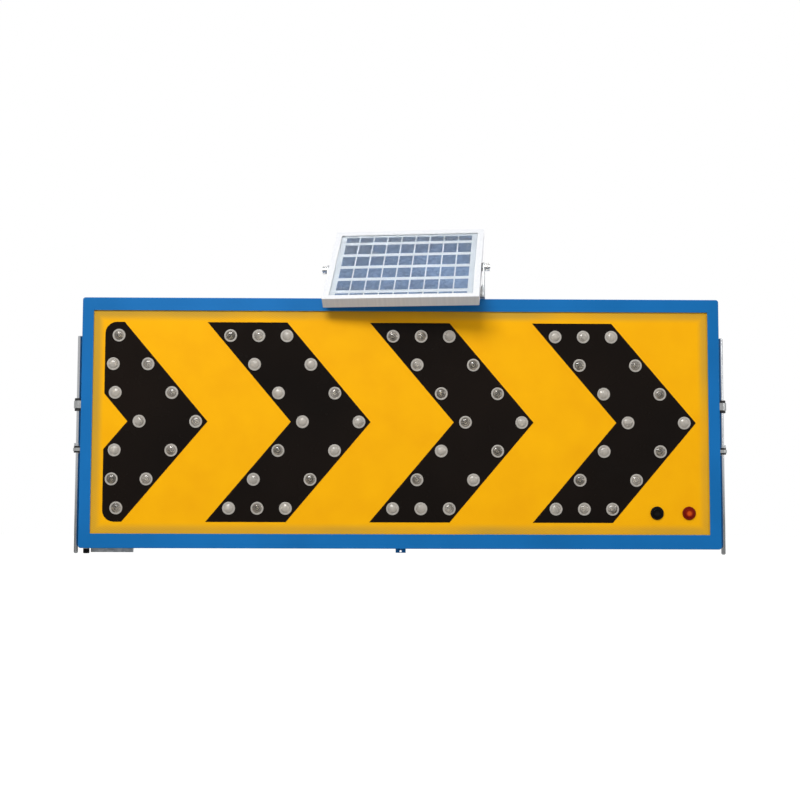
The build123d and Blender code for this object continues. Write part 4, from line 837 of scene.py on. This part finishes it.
# ---------------------------------------------------------------- solar panel frame
# Four clear-anodised extrusions with mitred corners. The die leaves fine lines along each bar.
panel_tilt, panel_yaw = math.radians(45), math.radians(8)
across = Vector((math.cos(panel_yaw), -math.sin(panel_yaw), 0))
rearward = Vector((math.sin(panel_yaw), math.cos(panel_yaw), 0))
uphill = rearward * math.cos(panel_tilt) + Vector((0, 0, math.sin(panel_tilt)))
stud_low, stud_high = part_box("pivot_studs")
pivot = (stud_low + stud_high) / 2
die_size = 5 * mm

anodised, tree, shader, place = started("clear_anodised_aluminium")
lines = []
for direction in (across, uphill):
    along = add(tree, "VectorMath", {"operation": "DOT_PRODUCT", 0: place, 1: tuple(direction)})
    lines.append(along.outputs["Value"])
grid = add(tree, "CombineXYZ", {0: lines[0], 1: lines[1]})
die_line = add(tree, "TexNoise", {"Vector": grid.outputs[0], "Scale": 1 / die_size, "Detail": 4.0})
pale = add(tree, "Mix", {
    "data_type": "RGBA", 0: die_line.outputs[0], 6: linear("d6d8dc"), 7: linear("f2f3f5"),
})
satin = add(tree, "MapRange", {0: die_line.outputs[0], 1: 0.3, 2: 0.7, 3: 0.36, 4: 0.5})
tree.links.new(pale.outputs[2], shader.inputs["Base Color"])
tree.links.new(satin.outputs[0], shader.inputs["Roughness"])
shader.inputs["Metallic"].default_value = 0.55
piece = eased("panel_rails", "panel_frame", 0.3 * mm)
piece.data.materials.append(anodised)
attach(piece, "panel")

# ---------------------------------------------------------------- solar cells
# Blue multicrystalline silicon cut into strips, laid on a white film behind toughened glass. Each
# strip shows crystals of slightly different blues and fine silver fingers across it. The film is
# plain white, and the glass is clear with a faint roller wave.
crystal_size, finger_pitch, finger_share, finger_tint = 6 * mm, 3.0 * mm, 0.28, 0.22
wave_size, roller_size = 25 * mm, 30 * mm
silicon, tree, shader, place = started("multicrystalline_silicon")
centred = add(tree, "VectorMath", {"operation": "SUBTRACT", 0: place, 1: tuple(pivot)})
u = add(tree, "VectorMath", {"operation": "DOT_PRODUCT", 0: centred.outputs[0], 1: tuple(across)})
v = add(tree, "VectorMath", {"operation": "DOT_PRODUCT", 0: centred.outputs[0], 1: tuple(uphill)})
flat = add(tree, "CombineXYZ", {0: u.outputs["Value"], 1: v.outputs["Value"]})
facets = add(tree, "TexVoronoi", {"Vector": flat.outputs[0], "Scale": 1 / crystal_size})
facet = add(tree, "SeparateColor", {0: facets.outputs["Color"]})
blue = add(tree, "Mix", {
    "data_type": "RGBA", 0: facet.outputs[0], 6: linear("6b8cb9"), 7: linear("87a7d0"),
})
counted = add(tree, "Math", {"operation": "MULTIPLY", 0: v.outputs["Value"], 1: 1 / finger_pitch})
share = add(tree, "Math", {"operation": "FRACT", 0: counted.outputs[0]})
finger = add(tree, "Math", {"operation": "LESS_THAN", 0: share.outputs[0], 1: finger_share})
fingered = add(tree, "Math", {"operation": "MULTIPLY", 0: finger.outputs[0], 1: finger_tint})
celled = add(tree, "Mix", {
    "data_type": "RGBA", 0: fingered.outputs[0], 6: blue.outputs[2], 7: linear("c3cfdf"),
})
tree.links.new(celled.outputs[2], shader.inputs["Base Color"])
shader.inputs["Roughness"].default_value = 0.3
wear(["panel_cells"], silicon)

backing, tree, shader, place = started("white_backsheet_film")
wave = add(tree, "TexNoise", {"Vector": place, "Scale": 1 / wave_size, "Detail": 2.0})
film = add(tree, "Mix", {
    "data_type": "RGBA", 0: wave.outputs[0], 6: linear("f0f4fb"), 7: linear("fafcff"),
})
tree.links.new(film.outputs[2], shader.inputs["Base Color"])
shader.inputs["Roughness"].default_value = 0.5
wear(["panel_backsheet"], backing)

glass, tree, shader, place = started("low_iron_toughened_glass")
roller = add(tree, "TexNoise", {"Vector": place, "Scale": 1 / roller_size, "Detail": 1.0})
float_wave = add(tree, "Bump", {"Strength": 0.05, "Distance": 0.5 * mm, "Height": roller.outputs[0]})
tree.links.new(float_wave.outputs[0], shader.inputs["Normal"])
shader.inputs["Base Color"].default_value = linear("f4f8fa")
shader.inputs["Roughness"].default_value = 0.03
shader.inputs["Transmission Weight"].default_value = 1.0
shader.inputs["IOR"].default_value = 1.5
wear(["panel_glass"], glass)

# ---------------------------------------------------------------- glass seal
# A fine bead of white silicone in the corner between the frame's lip and the glass, laid by gun
# and smoothed, so it has a soft satin skin.
lip_w, wall_t, half_depth, bead_r = 11 * mm, 1.5 * mm, 13 * mm, 0.8 * mm
panel_w, panel_l, bead_in, bead_up = 292 * mm, 222 * mm, 0.2 * mm, 0.1 * mm
skin_size = 4 * mm
outward = across.cross(uphill)
lay_flat = Matrix((
    (across.x, uphill.x, outward.x, pivot.x), (across.y, uphill.y, outward.y, pivot.y),
    (across.z, uphill.z, outward.z, pivot.z), (0, 0, 0, 1),
))
glass_front = half_depth - wall_t
run_x, run_y = panel_w / 2 - lip_w - bead_in, panel_l / 2 - lip_w - bead_in
bead_path = bpy.data.curves.new("glass_seal", "CURVE")
bead_path.dimensions = "3D"
bead_path.bevel_depth, bead_path.bevel_resolution = bead_r, 2
loop = bead_path.splines.new("POLY")
loop.points.add(3)
for point, (side, end) in zip(loop.points, ((-1, -1), (1, -1), (1, 1), (-1, 1))):
    point.co = (side * run_x, end * run_y, glass_front + bead_up, 1.0)
loop.use_cyclic_u = True
glass_seal = bpy.data.objects.new("glass_seal", bead_path)
bpy.context.collection.objects.link(glass_seal)
picked(glass_seal)
bpy.ops.object.convert(target="MESH")
glass_seal = bpy.context.object
glass_seal.data.transform(lay_flat)
smoothed(glass_seal, 60)
silicone, tree, shader, place = started("white_silicone")
skin = add(tree, "TexNoise", {"Vector": place, "Scale": 1 / skin_size, "Detail": 2.0})
skin_tone = add(tree, "Mix", {
    "data_type": "RGBA", 0: skin.outputs[0], 6: linear("e4e6e8"), 7: linear("f4f5f6"),
})
tree.links.new(skin_tone.outputs[2], shader.inputs["Base Color"])
shader.inputs["Roughness"].default_value = 0.4
glass_seal.data.materials.append(silicone)
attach(glass_seal, "panel")

# ---------------------------------------------------------------- junction box
# Black moulded box on the panel's back, where the two ends of the cell string come out.
piece = eased("junction_box", "panel_junction_box", 0.8 * mm)
piece.data.materials.append(black_nylon)
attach(piece, "panel")
